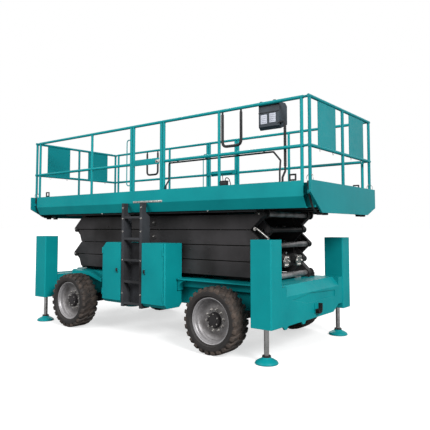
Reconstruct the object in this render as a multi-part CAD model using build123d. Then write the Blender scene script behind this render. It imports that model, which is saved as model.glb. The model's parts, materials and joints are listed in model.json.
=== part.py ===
"""Rough-terrain scissor lift, stowed and parked on its wheels and outrigger pads.

Millimetres, +Z up, +X towards the steered end, -Y is the right-hand side.
The origin is on the ground, at the centre of the machine.
"""
import os
from math import atan2, cos, degrees, hypot, pi, radians, sin, sqrt

from build123d import *

os.makedirs("parts", exist_ok=True)

# ---------------------------------------------------------------- clearances
RUNNING_GAP = 0.5        # radial gap of a pin or rod in its bore
SEAT_GAP = 0.3           # gap of a piece resting on another body
LAP_GAP = 6.0            # side gap between two lapped eye plates
PANEL_GAP = 4.0          # gap round a door
SIDE_GAP = 6.0           # gap beside a sliding or rolling piece

# --------------------------------------------------------- wheels and axles
WHEELBASE = 2860.0
WHEEL_Y = 1004.0         # middle plane of a wheel
TYRE_R = 419.0
TYRE_W = 290.0
LUG_H = 20.0
LUG_W = 50.0
LUG_TILT = 28.0          # degrees between a tread lug and the axle line
TREAD_LUGS = 16          # on either half of the tread
TYRE_FLATS = 32          # flats round the carcass
SIDEWALL_IN = 22.0       # how far the bead lies inside the tyre's full width
SHOULDER = 34.0
SIDEWALL_R = 354.0       # where the sidewall is widest
RIM_R = 292.0
RIM_DISC_R = 185.0
HUB_R = 92.0
HUB_OUT = 62.0           # how far the hub stands out from the wheel's middle plane
SPINDLE_R = 38.0
AXLE_H = 130.0
AXLE_NECK_Y = 690.0
GEAR_R = 125.0
GEAR_HALF = 95.0
KING_PIN_Y = 790.0
KING_PIN_R = 24.0
KNUCKLE_H = 230.0
STEER_CYLINDER_HALF = 330.0
STEER_CYLINDER_R = 36.0
STEER_CYLINDER_BACK = 130.0

# ------------------------------------------------------------------ chassis
CHASSIS_TOP = 865.0
DECK_PLATE = 15.0
DECK_HALF_W = 820.0
BEAM_Y_IN = 400.0
BEAM_Y_OUT = 600.0
BEAM_BOTTOM = 500.0
END_PLATE = 20.0
END_PLATE_BOTTOM = 400.0
END_FACE_BACK = 15.0     # how far the end plates lie behind the outrigger housings' faces
END_CUT_Y = (560.0, 737.0)   # where the end plate's lower edge rises, and where it ends rising
END_CUT_Z = 490.0
END_TAB = 36.0           # depth of the two tabs under the front end plate
SLOPE_Z = 745.0          # foot of the sloping top of the front end box
SLOPE_BACK = 95.0
SLOPE_HALF_Y = 745.0
RECESS_T = 12.0
REAR_DECK_X = 1900.0     # where the deck plate ends at the rear, lower boxes go on
REAR_BOX_TOP = 780.0
REAR_NECK_Y = 470.0
LEDGE_START = 600.0
LEDGE_LIP = 62.0
LEDGE_T = 8.0
LUG_X = 1940.0           # tie-down lugs: place, size and hole
LUG_HALF = 45.0
LUG_PLATE = 20.0
LUG_HOLE_Z = 440.0
LUG_HOLE_R = 22.0
SILL_Y = 700.0
FENDER_X = (1760.0, 1330.0, 1000.0)    # rear ledges: outer end, bend, inner end
FENDER_DROP = 95.0
SILL_BOTTOM = 750.0

# --------------------------------------------------------------- outriggers
OUTRIGGER_FRONT_X = 2170.0
OUTRIGGER_REAR_X = 2235.0
OUTRIGGER_Y = 995.0
HOUSING_X = 290.0
HOUSING_Y = 250.0
HOUSING_BOTTOM = 410.0
HOUSING_TOP = 1430.0
HOUSING_WALL = 10.0
HOUSING_CHAMFER = 12.0
LEG_R = 30.0
LEG_TOP = 1085.0
LEG_GUIDE_Z = 700.0
PAD_R = 138.0
PAD_H = 62.0

# ---------------------------------------------------------- scissor linkage
PIN_X = 1885.0           # pin lines at both ends of the stowed stack
PIN_OVER_CHASSIS = 60.0
PIN_UNDER_DECK = 50.0
LEVELS = 4
ARM_GAP = 12.0           # gap between stowed arms, one above the other
ARM_W = 100.0
OUTER_ARM_Y = 610.0
INNER_ARM_Y = 450.0
EYE_R = 46.0
CROSS_TUBE_R = 36.0
ARM_TOP_CUT = 72.0       # how far the tube stops short of its pin
ARM_LOW_CUT = 150.0      # the same at the slanted end's far corner
MID_PIN_R = 42.0
MID_BOSS_R = 78.0
ROLLER_W = 48.0
ROLLER_PIN_R = 24.0
TOP_TIE_X = 1250.0
TRACK_T = 12.0           # plate of the roller tracks
LIP_T = 8.0
TRACK_BACK = 2010.0      # the tracks' far end, on the -X side
TRACK_FRONT = 620.0

# ----------------------------------------------------------- lift cylinders
CYLINDER_Y = 170.0
BARREL_R = 65.0
ROD_R = 40.0
ROD_LUG_OFFSET = 800.0   # from the left-hand pin of inner arm 3 to the rod eye
BARREL_EYE_R = 84.0
EYE_W = 96.0
LUG_T = 22.0

# ----------------------------------------------------------------- platform
PLATFORM_HALF_X = 2640.0
FLOOR_TOP = 1960.0
FLOOR_T = 16.0
DECK_DEPTH = 160.0
SKIRT_Y = 950.0
SKIRT_T = 12.0
FOLD_DROP = 30.0         # how far the skirt's fold lies below the floor
SKIRT_FOOT_Y = 885.0
TOE_H = 150.0
SKIRT_LIP = 70.0
FRAME_RAIL_IN = 320.0
FRAME_RAIL_OUT = 400.0
FRAME_END_IN = 60.0
FRAME_BAY = 1300.0
FRAME_CROSS_W = 60.0
RAIL_R = 21.0
POST_R = 20.0
RAIL_STUB = 24.0         # how far a rail runs past the middle of its last post
RAIL_H = 1140.0          # top of the guard rails above the floor
MID_RAIL_H = 552.0       # middle of the mid rails above the floor
RAIL_Y = 915.0
CORNER_X = 2612.0
REAR_POST_X = -1160.0
FRONT_POST_X = 1420.0
GATE_LEFT_X = -210.0
GATE_RIGHT_X = 410.0
GATE_POST_W = 96.0

# --------------------------------------------------------- extension decks
EXT_END_X = 2760.0
EXT_PLATE_T = 24.0
EXT_HALF_Y = 1000.0
EXT_PLATE_DROP = 55.0    # how far the end plate hangs below the platform
EXT_CORNER = 290.0       # width of the end plates' slanted lower corners
EXT_FLOOR_BACK = 1300.0
EXT_FLOOR_T = 14.0
EXT_SIDE_Y = 886.0
EXT_POST_X = 2712.0
EXT_TUBE_R = 15.0
EXT_TUBE_BACK = 1360.0
POST_FOOT_H = 40.0
END_PANEL_IN = 215.0
END_PANEL_OUT = 700.0

# ------------------------------------------------------ cabinets and ladder
CABINET_OUT_Y = 1050.0
CABINET_IN_Y = SILL_Y
CABINET_TOP = 1355.0
CABINET_BOTTOM = 465.0
CABINET_WALL = 10.0
ENGINE_ROOM = 42.0       # from the cabinet's ends to the engine
ENGINE_H = 605.0
DOOR_T = 22.0
HINGE_R = 9.0
HINGE_PIN_R = 4.0
HINGE_NOTCH = 3.0        # room round the fixed half of a hinge
HINGE_H = 45.0
HINGE_LEAF = 8.0
HINGE_DEPTH = 40.0
HINGE_Z = (620.0, 1230.0)
CABINET_FOOT = 50.0
REAR_CABINET_CUT = 80.0
FRONT_CABINET_CUT = 34.0
LATCH_Z = (925.0, 985.0)
LATCH_IN = 40.0          # from a door's free edge to its latch
LATCH_W = 44.0
LADDER_OUT_Y = 1040.0
LADDER_DEPTH = 155.0
LADDER_BOTTOM = 430.0
LADDER_LEFT_X = -269.0
LADDER_RIGHT_X = 111.0
LADDER_BACK_TOP = 1350.0
STRINGER_HALF = 25.0
FIRST_RUNG_Z = 465.0
RUNG_PITCH = 310.0
RUNG_T = 32.0
RUNG_DEPTH = 50.0
RUNGS = 5

# ------------------------------------------------- platform's small fittings
GRIP_R = 13.0
GRIP_BOTTOM_Z = 2610.0
GRIP_X = (1475.0, 1765.0)
LOOP_R = 8.0             # teal grab loops beside the gate
LOOP_OUT = 75.0
LOOP_Z = (2200.0, 2890.0)
CONDUIT_R = 11.0
CABLE_R = 13.0
CABLE_X = 2372.0
RING_T = 14.0
GATE_RAISE = 12.0        # how far the gate bar's middle lies above the mid rails'
BAR_R = 17.0
KEEPER_T = 12.0
BOX_X = (2010.0, 2300.0)     # control box
BOX_Z = (2765.0, 3090.0)
BOX_DEPTH = 190.0
BOX_DEPTH_FROM_RAIL = 29.0
CONDUIT_X = (505.0, 2215.0)  # its upright, and where it bends down again
CLIP_X = (700.0, 1200.0, 1700.0, 2100.0)
RING_X = [(2460.0, 2550.0), (-2370.0, -2280.0)]
RING_H = 80.0
HOOK_Y = 35.0
HOOK_Z = 512.0
HOOK_R = 60.0
HOOK_W = 26.0
HOOK_T = 62.0

# ------------------------------------------------ heights that follow others
PLATFORM_BOTTOM = FLOOR_TOP - DECK_DEPTH
SKIRT_FOLD = FLOOR_TOP - FOLD_DROP
TOE_TOP = FLOOR_TOP + TOE_H
RAIL_TOP = FLOOR_TOP + RAIL_H
MID_RAIL_Z = FLOOR_TOP + MID_RAIL_H
EXT_PLATE_BOTTOM = PLATFORM_BOTTOM - EXT_PLATE_DROP
POST_FOOT_TOP = FLOOR_TOP + POST_FOOT_H
LADDER_TOP = SKIRT_FOLD
STACK_BOTTOM = CHASSIS_TOP + PIN_OVER_CHASSIS
STACK_TOP = PLATFORM_BOTTOM - PIN_UNDER_DECK
PITCH = (STACK_TOP - STACK_BOTTOM) / LEVELS

# each row: name, low x, high x, x of the hinge line, cut of the top corner at low x
CABINETS = [
    ("rear", -703.0, -304.0, -703.0, REAR_CABINET_CUT),
    ("front", 142.0, 590.0, 590.0 - FRONT_CABINET_CUT, 0.0),
]
SIDES = [("right", -1), ("left", 1)]
ENDS = [("front", 1), ("rear", -1)]

# height of the end plates' slanted lower corners, by end and side
EXT_CORNER_H = {(1, -1): 225.0, (1, 1): 104.0, (-1, -1): 150.0, (-1, 1): 150.0}


def leg_x(e):
    """The x of the outrigger legs at one end."""
    return OUTRIGGER_FRONT_X if e > 0 else -OUTRIGGER_REAR_X


def housing_in(e):
    """The x of the outrigger housings' inner faces at one end."""
    return leg_x(e) - e * HOUSING_X / 2


def end_face(e):
    """The x of the end plate's outer face at one end."""
    return leg_x(e) + e * (HOUSING_X / 2 - END_FACE_BACK)


# ------------------------------------------------------------ plain helpers
def block(x0, x1, y0, y1, z0, z1):
    """A box between two corners, given in any order."""
    centre = Pos((x0 + x1) / 2, (y0 + y1) / 2, (z0 + z1) / 2)
    return centre * Box(abs(x1 - x0), abs(y1 - y0), abs(z1 - z0))


def rod_x(x0, x1, y, z, radius):
    return Pos((x0 + x1) / 2, y, z) * Rot(0, 90, 0) * Cylinder(radius, abs(x1 - x0))


def rod_y(y0, y1, x, z, radius):
    return Pos(x, (y0 + y1) / 2, z) * Rot(90, 0, 0) * Cylinder(radius, abs(y1 - y0))


def rod_z(z0, z1, x, y, radius):
    return Pos(x, y, (z0 + z1) / 2) * Cylinder(radius, abs(z1 - z0))


def plate_xz(points, y0, y1):
    """A flat plate whose outline is given by (x, z) points, between two y."""
    outline = make_face(Polyline(*[(x, min(y0, y1), z) for x, z in points], close=True))
    return extrude(outline, amount=abs(y1 - y0), dir=(0, 1, 0))


def plate_yz(points, x0, x1):
    """A flat plate whose outline is given by (y, z) points, between two x."""
    outline = make_face(Polyline(*[(min(x0, x1), y, z) for y, z in points], close=True))
    return extrude(outline, amount=abs(x1 - x0), dir=(1, 0, 0))


def turned_y(profile, x, y, z):
    """A solid of revolution about the y direction; profile is (radius, y) points."""
    outline = make_face(Polyline(*[(r, t, 0) for r, t in profile], close=True))
    return Pos(x, y, z) * revolve(outline, Axis.Y)


def turned_z(profile, x, y):
    """A solid of revolution about a vertical line; profile is (radius, z) points."""
    outline = make_face(Polyline(*[(r, 0, z) for r, z in profile], close=True))
    return Pos(x, y, 0) * revolve(outline, Axis.Z)


def bent_tube(points, bend, radius):
    """A round bar along straight runs joined by arcs of one radius."""
    path = FilletPolyline(*points, radius=bend)
    return sweep(Plane(origin=path @ 0, z_dir=path % 0) * Circle(radius), path=path)


def fuse(pieces):
    """All the pieces as one shape."""
    whole = pieces[0]
    for piece in pieces[1:]:
        whole = whole + piece
    return whole


def save(shape, node):
    export_step(shape, "parts/" + node + ".step")


# ------------------------------------------------------------------- wheels
def flat_ring(y, radius):
    """A many-sided face across the axle line, whose flats touch the radius."""
    corner = radius / cos(pi / TYRE_FLATS)
    turns = [2 * pi * i / TYRE_FLATS for i in range(TYRE_FLATS)]
    return make_face(Polyline(*[(corner * cos(t), y, corner * sin(t)) for t in turns], close=True))


def tread_lug(side):
    """One slanted lug that starts near the middle and runs down over the shoulder."""
    half = TYRE_W / 2
    carcass = TYRE_R - LUG_H
    reach = (half * sin(radians(LUG_TILT)) + LUG_W) / 2
    top = sqrt(TYRE_R ** 2 - reach ** 2)
    profile = [(-10, carcass - 14), (-4, top), (half - SHOULDER + 4, top), (half - 3, carcass - 52)]
    face = make_face(Polyline(*[(0, side * y, z) for y, z in profile], close=True))
    bar = extrude(face, amount=LUG_W / 2, dir=(1, 0, 0), both=True)
    middle = side * half / 2
    return Pos(0, middle, 0) * Rot(0, 0, LUG_TILT) * Pos(0, -middle, 0) * bar


def make_tyre():
    """A wide tyre at the origin, with staggered lugs on both halves of its tread."""
    half = TYRE_W / 2
    bead = RIM_R + SEAT_GAP
    # each row: y from the middle plane, radius
    rows = [(half - SIDEWALL_IN, bead), (half - 2, SIDEWALL_R), (half - SHOULDER, TYRE_R - LUG_H)]
    rows = [(-y, r) for y, r in rows] + rows[::-1]
    carcass = loft([flat_ring(y, r) for y, r in rows], ruled=True)
    bore = loft([flat_ring(y, bead) for y in (SIDEWALL_IN - half, half - SIDEWALL_IN)], ruled=True)
    step = 360 / TREAD_LUGS
    lugs = [Rot(0, step * (i + (0.5 if side > 0 else 0)), 0) * tread_lug(side)
            for side in (-1, 1) for i in range(TREAD_LUGS)]
    return (carcass - bore).fuse(*lugs)


def wheel_rim(x, side):
    """A dished steel rim with its hub, open to the inside for the spindle."""
    half = TYRE_W / 2 - 28
    out = side
    profile = [
        (SPINDLE_R + RUNNING_GAP, out * HUB_OUT), (HUB_R, out * HUB_OUT), (HUB_R, out * 12),
        (RIM_DISC_R, out * 2), (RIM_R - 40, out * 22), (RIM_R - 34, out * (half - 30)),
        (RIM_R - 14, out * (half - 14)), (RIM_R - 14, out * half),
        (RIM_R, out * half), (RIM_R, -out * half), (RIM_R - 14, -out * half),
        (RIM_R - 40, out * 2), (RIM_DISC_R, -out * 16), (HUB_R + 20, -out * 6),
        (HUB_R, -out * 60), (SPINDLE_R + RUNNING_GAP, -out * 60),
    ]
    return turned_y(profile, x, side * WHEEL_Y, TYRE_R)


def hub_face(side):
    """Where the back of a hub lies, as a y."""
    return side * (WHEEL_Y - 60)


def spindle(x, side, start_y):
    """The stub axle through a hub, with a shoulder behind it."""
    shaft = rod_y(start_y, side * (WHEEL_Y + HUB_OUT - 10), x, TYRE_R, SPINDLE_R)
    shoulder = rod_y(start_y, hub_face(side) - side * SIDE_GAP, x, TYRE_R, HUB_R - 20)
    return shaft + shoulder


def steering_knuckle(side):
    """A forked knuckle with its king pin and spindle."""
    x = WHEELBASE / 2
    ear_y = side * KING_PIN_Y
    half = KNUCKLE_H / 2
    bar = half - 35
    back_y = ear_y + side * 62
    ears = [rod_z(TYRE_R + s * bar, TYRE_R + s * half, x, ear_y, 52) for s in (-1, 1)]
    arms = [block(x - 45, x + 45, ear_y, back_y + side * 24,
                  TYRE_R + s * bar, TYRE_R + s * half) for s in (-1, 1)]
    back = block(x - 45, x + 45, back_y, back_y + side * 24, TYRE_R - half, TYRE_R + half)
    pin = rod_z(TYRE_R - half, TYRE_R + half, x, ear_y, KING_PIN_R)
    return fuse(ears + arms + [back, pin, spindle(x, side, back_y + side * 12)])


def front_axle():
    """A steered axle beam that ends in two king-pin bosses."""
    x = WHEELBASE / 2
    half = AXLE_H / 2
    beam = block(x - half, x + half, -AXLE_NECK_Y, AXLE_NECK_Y, TYRE_R - half, TYRE_R + half)
    necks = [block(x - 40, x + 40, s * (AXLE_NECK_Y - 5), s * KING_PIN_Y, TYRE_R - 55, TYRE_R + 55)
             for _, s in SIDES]
    boss_half = KNUCKLE_H / 2 - 35 - SIDE_GAP
    bosses = [rod_z(TYRE_R - boss_half, TYRE_R + boss_half, x, s * KING_PIN_Y, 52)
              for _, s in SIDES]
    bores = [rod_z(0, 2 * TYRE_R, x, s * KING_PIN_Y, KING_PIN_R + RUNNING_GAP)
             for _, s in SIDES]
    cylinder = rod_y(-STEER_CYLINDER_HALF, STEER_CYLINDER_HALF, x - STEER_CYLINDER_BACK,
                     TYRE_R, STEER_CYLINDER_R)
    mounts = [block(x - STEER_CYLINDER_BACK, x, s * 150 - 20, s * 150 + 20, TYRE_R - 20, TYRE_R + 20)
              for _, s in SIDES]
    axle = fuse([beam, gear_case(x), cylinder] + mounts + necks + bosses + axle_brackets(x))
    for bore in bores:
        axle = axle - bore
    return axle


def rear_axle():
    """A rigid axle beam with both spindles."""
    x = -WHEELBASE / 2
    half = AXLE_H / 2
    beam = block(x - half, x + half, -KING_PIN_Y, KING_PIN_Y, TYRE_R - half, TYRE_R + half)
    spindles = [spindle(x, s, s * (KING_PIN_Y - 10)) for _, s in SIDES]
    return fuse([beam, gear_case(x)] + spindles + axle_brackets(x))


def gear_case(x):
    """The round case of the axle's gears, with a flange for the drive motor."""
    case = turned_y([(0, -GEAR_HALF), (GEAR_R - 35, -GEAR_HALF), (GEAR_R, 20 - GEAR_HALF),
                     (GEAR_R, GEAR_HALF - 20), (GEAR_R - 35, GEAR_HALF), (0, GEAR_HALF)],
                    x, 0, TYRE_R)
    inward = -1 if x > 0 else 1
    neck = rod_x(x, x + inward * (GEAR_R + 60), 0, TYRE_R, 62)
    flange = rod_x(x + inward * (GEAR_R + 40), x + inward * (GEAR_R + 60), 0, TYRE_R, 82)
    return fuse([case, neck, flange])


def axle_brackets(x):
    """The two saddles that carry the chassis beams."""
    middle = (BEAM_Y_IN + BEAM_Y_OUT) / 2
    return [block(x - 90, x + 90, s * (middle - 70), s * (middle + 70), TYRE_R, BEAM_BOTTOM)
            for _, s in SIDES]


# ------------------------------------------------------------------ chassis
def chassis_frame():
    """Main beams, deck plate, sills, ledges over the wheels, and end boxes."""
    front, rear = housing_in(1), housing_in(-1)
    top = CHASSIS_TOP - DECK_PLATE
    pieces = [block(-REAR_DECK_X, front, -SILL_Y, SILL_Y, top, CHASSIS_TOP),
              block(rear, 5 - REAR_DECK_X, -REAR_NECK_Y, REAR_NECK_Y, top, CHASSIS_TOP)]
    for _, s in SIDES:
        pieces.append(block(-REAR_DECK_X, front, s * BEAM_Y_IN, s * BEAM_Y_OUT, BEAM_BOTTOM, top))
        pieces.append(block(rear, 5 - REAR_DECK_X, s * BEAM_Y_IN, s * REAR_NECK_Y, BEAM_BOTTOM, top))
        pieces.append(block(rear, 5 - REAR_DECK_X, s * BEAM_Y_IN, s * BEAM_Y_OUT,
                            BEAM_BOTTOM, REAR_BOX_TOP))
        pieces.append(block(-REAR_DECK_X, front, s * (SILL_Y - 12), s * SILL_Y, SILL_BOTTOM, top))
        pieces.append(block(LEDGE_START, front, s * (SILL_Y - 5), s * DECK_HALF_W, top, CHASSIS_TOP))
        pieces += [ledge_gusset(s), rear_fender(s)]
    return fuse(pieces + [front_box(), rear_box()])


def ledge_gusset(s):
    """A gusset with a round cut-out, under the front ledge's inner end."""
    reach = 150
    low = CHASSIS_TOP - DECK_PLATE - reach
    gusset = block(LEDGE_START, LEDGE_START + reach, s * (SILL_Y - 5), s * (DECK_HALF_W - 20),
                   low, CHASSIS_TOP - 5)
    return gusset - rod_y(s * (SILL_Y - 20), s * (DECK_HALF_W + 20), LEDGE_START + reach, low,
                          reach - 12)


def rear_fender(s):
    """A bent ledge inside the rear wheel, with a lip along its edge."""
    end_x, bend_x, low_x = FENDER_X
    top = [(-end_x, CHASSIS_TOP), (-bend_x, CHASSIS_TOP), (-low_x, CHASSIS_TOP - FENDER_DROP)]
    plate = plate_xz(top + [(x, z - DECK_PLATE) for x, z in top[::-1]],
                     s * (SILL_Y - 5), s * DECK_HALF_W)
    lip = plate_xz(top + [(x, z - LEDGE_LIP) for x, z in top[::-1]],
                   s * (DECK_HALF_W - LEDGE_T), s * DECK_HALF_W)
    return plate + lip


def end_plate_outline(e, top):
    """The end plate as (y, z) points; one lower corner is cut away."""
    width = OUTRIGGER_Y - HOUSING_Y / 2
    y_cut, y_rise = END_CUT_Y
    outline = [(-width, END_PLATE_BOTTOM + 20), (-width + 40, END_PLATE_BOTTOM),
               (y_cut, END_PLATE_BOTTOM), (y_rise, END_CUT_Z), (width, END_CUT_Z),
               (width, top), (-width, top)]
    return [(e * y, z) for y, z in outline]


def front_box():
    """The front end box: its plate has tabs, a recess and a sloping top between the legs."""
    width = OUTRIGGER_Y - HOUSING_Y / 2
    face = end_face(1)
    body = block(housing_in(1), face - END_PLATE + 2, -width, width, BEAM_BOTTOM, CHASSIS_TOP)
    plate = plate_yz(end_plate_outline(1, CHASSIS_TOP), face - END_PLATE, face)
    tabs = [plate_yz([(y, END_PLATE_BOTTOM + 5), (y + 40, END_PLATE_BOTTOM - END_TAB),
                      (y + 90, END_PLATE_BOTTOM - END_TAB), (y + 130, END_PLATE_BOTTOM + 5)],
                     face - END_PLATE, face) for y in (-830, -380)]
    slope = plate_xz([(face + 2, SLOPE_Z), (face + 2, CHASSIS_TOP + 2),
                      (face - SLOPE_BACK, CHASSIS_TOP + 2)], -SLOPE_HALF_Y, SLOPE_HALF_Y)
    recess = plate_yz([(-600, 690), (-130, 735), (620, 700), (620, 610), (-210, 610)],
                      face - RECESS_T, face + 2)
    return fuse([body, plate] + tabs) - slope - recess


def rear_box():
    """The rear end box, lower than the deck, with a like plate."""
    width = OUTRIGGER_Y - HOUSING_Y / 2
    face = end_face(-1)
    body = block(housing_in(-1), face + END_PLATE - 2, -width, width, BEAM_BOTTOM, REAR_BOX_TOP)
    plate = plate_yz(end_plate_outline(-1, REAR_BOX_TOP + 10), face, face + END_PLATE)
    return body + plate


def tie_down_lug(e, s):
    """A plate under a main beam, with a hole for the shackle of a tie-down chain."""
    y = (BEAM_Y_IN + BEAM_Y_OUT) / 2
    top = BEAM_BOTTOM - SEAT_GAP
    lug = block(e * LUG_X - LUG_HALF, e * LUG_X + LUG_HALF, s * y - LUG_PLATE / 2,
                s * y + LUG_PLATE / 2, LUG_HOLE_Z, top)
    lug = lug + rod_y(s * y - LUG_PLATE / 2, s * y + LUG_PLATE / 2, e * LUG_X, LUG_HOLE_Z,
                      LUG_HALF)
    return lug - rod_y(s * y - LUG_PLATE, s * y + LUG_PLATE, e * LUG_X, LUG_HOLE_Z, LUG_HOLE_R)


def pin_brackets():
    """Upright ears on both sides of the lowest outer arm pins."""
    ears = []
    for _, s in SIDES:
        for y in (OUTER_ARM_Y - ARM_W / 2 - SIDE_GAP - 24, OUTER_ARM_Y + ARM_W / 2 + SIDE_GAP):
            ear = block(PIN_X - 70, PIN_X + 70, s * y, s * (y + 24),
                        CHASSIS_TOP + SEAT_GAP, STACK_BOTTOM)
            ear = ear + rod_y(s * y, s * (y + 24), PIN_X, STACK_BOTTOM,
                              PIN_OVER_CHASSIS - SEAT_GAP)
            ears.append(ear - rod_y(s * (y - 2), s * (y + 26), PIN_X, STACK_BOTTOM,
                                    CROSS_TUBE_R + RUNNING_GAP))
    return ears


def track(s, z0, z1, lip_low):
    """The web of a roller's channel from z0 to z1, and the lip that holds the roller in."""
    inner = INNER_ARM_Y - ARM_W / 2 - SIDE_GAP
    back = inner - ROLLER_W - 8
    web = block(-TRACK_BACK, TRACK_FRONT, s * (back - TRACK_T), s * back, z0, z1)
    lip = block(-TRACK_BACK, TRACK_FRONT, s * (back + SEAT_GAP), s * (inner - 4),
                lip_low, lip_low + LIP_T)
    return [web, lip]


def arm_seats():
    """What the lowest arms stand on: pin brackets, and channels for the rollers."""
    lip_low = STACK_BOTTOM + PIN_OVER_CHASSIS + SIDE_GAP
    pieces = pin_brackets()
    for _, s in SIDES:
        pieces += track(s, CHASSIS_TOP + SEAT_GAP, lip_low + LIP_T, lip_low)
    return fuse(pieces)


def outrigger_housing(e, s):
    """A tall square tube, closed on top, with two guides for the leg."""
    x = leg_x(e)
    y = s * OUTRIGGER_Y
    hx = HOUSING_X / 2
    hy = HOUSING_Y / 2
    w = HOUSING_WALL
    shell = block(x - hx, x + hx, y - hy, y + hy, HOUSING_BOTTOM, HOUSING_TOP)
    shell = chamfer(shell.edges().filter_by(Axis.Z), HOUSING_CHAMFER)
    hollow = block(x - hx + w, x + hx - w, y - hy + w, y + hy - w,
                   HOUSING_BOTTOM + 20, HOUSING_TOP - w)
    guide = block(x - hx + w, x + hx - w, y - hy + w, y + hy - w, LEG_GUIDE_Z, LEG_GUIDE_Z + 20)
    shell = (shell - hollow) + guide
    return shell - rod_z(0, HOUSING_TOP - 2 * w, x, y, LEG_R + RUNNING_GAP)


def leg_rod(e, s):
    return rod_z(PAD_H + 22, LEG_TOP, leg_x(e), s * OUTRIGGER_Y, LEG_R)


def leg_pad(e, s):
    """A domed foot with the socket of its ball joint."""
    profile = [(0, 0), (PAD_R - 6, 0), (PAD_R, 10), (PAD_R - 12, 30), (PAD_R - 50, 52),
               (62, PAD_H), (46, PAD_H + 22), (0, PAD_H + 22)]
    return turned_z(profile, leg_x(e), s * OUTRIGGER_Y)


# --------------------------------------------------------- cabinets, ladder
def top_corner(x, z, size, y0, y1):
    """The wedge that a cabinet's slanted top corner leaves out."""
    return plate_xz([(x - 1, z + 1), (x + size, z + 1), (x - 1, z - size)], y0, y1)


def cabinet_shell(x0, x1, hinge_x, corner, s):
    """A cabinet open on its outer side, with a slanted foot."""
    y_in = CABINET_IN_Y
    y_out = CABINET_OUT_Y - DOOR_T
    w = CABINET_WALL
    low = CABINET_BOTTOM
    outline = [(s * y_in, low + CABINET_FOOT), (s * (y_in + CABINET_FOOT), low),
               (s * (y_out - 30), low), (s * y_out, low + 40),
               (s * y_out, CABINET_TOP), (s * y_in, CABINET_TOP)]
    inner = [(s * (y_in + w), low + CABINET_FOOT + 6), (s * (y_in + CABINET_FOOT + 6), low + w),
             (s * (y_out - 34), low + w), (s * (y_out + 5), low + 62),
             (s * (y_out + 5), CABINET_TOP - w), (s * (y_in + w), CABINET_TOP - w)]
    body = plate_yz(outline, x0, x1)
    hollow = plate_yz(inner, x0 + w, x1 - w)
    if corner:
        body = body - top_corner(x0, CABINET_TOP, corner, s * (y_in - 1), s * (y_out + 1))
        hollow = hollow - top_corner(x0 + w, CABINET_TOP - w, corner - 0.6 * w,
                                     s * (y_in - 1), s * (y_out + 6))
    shell = body - hollow
    if hinge_x not in (x0, x1):
        shell = shell + corner_post(hinge_x, x1, s)
    return shell + fixed_hinges(hinge_x, -1 if hinge_x == x0 else 1, s)


def corner_post(hinge_x, x1, s):
    """The bevelled post between the front door's hinges and the cabinet's corner."""
    x0 = hinge_x + PANEL_GAP / 2
    y_low = CABINET_OUT_Y - DOOR_T - 20
    outline = [(x0, s * y_low), (x1, s * y_low), (x1, s * (CABINET_OUT_Y - x1 + x0)),
               (x0, s * CABINET_OUT_Y)]
    low = CABINET_BOTTOM + CABINET_FOOT
    face = make_face(Polyline(*[(x, y, low) for x, y in outline], close=True))
    post = extrude(face, amount=CABINET_TOP - low, dir=(0, 0, 1))
    return post - rod_z(low - 1, CABINET_TOP + 1, hinge_x, s * CABINET_OUT_Y,
                        HINGE_R + HINGE_NOTCH)


def fixed_hinges(hinge_x, out, s):
    """The cabinet's half of both hinges: leaf, knuckle and pin."""
    y_out = CABINET_OUT_Y - DOOR_T
    hinges = []
    for z in HINGE_Z:
        leaf = block(hinge_x - out * 2, hinge_x + out * HINGE_LEAF,
                     s * (y_out - HINGE_DEPTH), s * CABINET_OUT_Y, z - HINGE_H, z)
        leaf = leaf - block(hinge_x, hinge_x - out * 4, s * (y_out + 1),
                            s * (CABINET_OUT_Y + 1), z - HINGE_H - 1, z + 1)
        knuckle = rod_z(z - HINGE_H, z, hinge_x, s * CABINET_OUT_Y, HINGE_R)
        pin = rod_z(z - 1, z + HINGE_H, hinge_x, s * CABINET_OUT_Y, HINGE_PIN_R)
        hinges += [leaf, knuckle, pin]
    return fuse(hinges)


def cabinet_door(x0, x1, hinge_x, corner, s):
    """A folded door panel with its latch."""
    y_in = CABINET_OUT_Y - DOOR_T + SEAT_GAP
    edge = PANEL_GAP / 2
    free_x, toward = (x0, 1) if hinge_x > x0 else (x1, -1)
    panel = block(free_x + toward * edge, hinge_x - toward * edge, s * y_in, s * CABINET_OUT_Y,
                  CABINET_BOTTOM + 44, CABINET_TOP - edge)
    if corner:
        panel = panel - top_corner(x0 + edge, CABINET_TOP - edge, corner, s * (y_in - 1),
                                   s * (CABINET_OUT_Y + 1))
    latch_x = free_x + toward * LATCH_IN
    latch = block(latch_x, latch_x + toward * LATCH_W, s * CABINET_OUT_Y,
                  s * (CABINET_OUT_Y + 14), LATCH_Z[0], LATCH_Z[1])
    door = panel + latch
    for z in HINGE_Z:
        notch = rod_z(z - HINGE_H - 2, z + SEAT_GAP, hinge_x, s * CABINET_OUT_Y,
                      HINGE_R + HINGE_NOTCH)
        door = door - notch
        knuckle = rod_z(z + SEAT_GAP, z + HINGE_H, hinge_x, s * CABINET_OUT_Y, HINGE_R)
        bore = rod_z(z - 1, z + HINGE_H + 1, hinge_x, s * CABINET_OUT_Y,
                     HINGE_PIN_R + RUNNING_GAP)
        door = door + knuckle - bore
    return door


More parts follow.
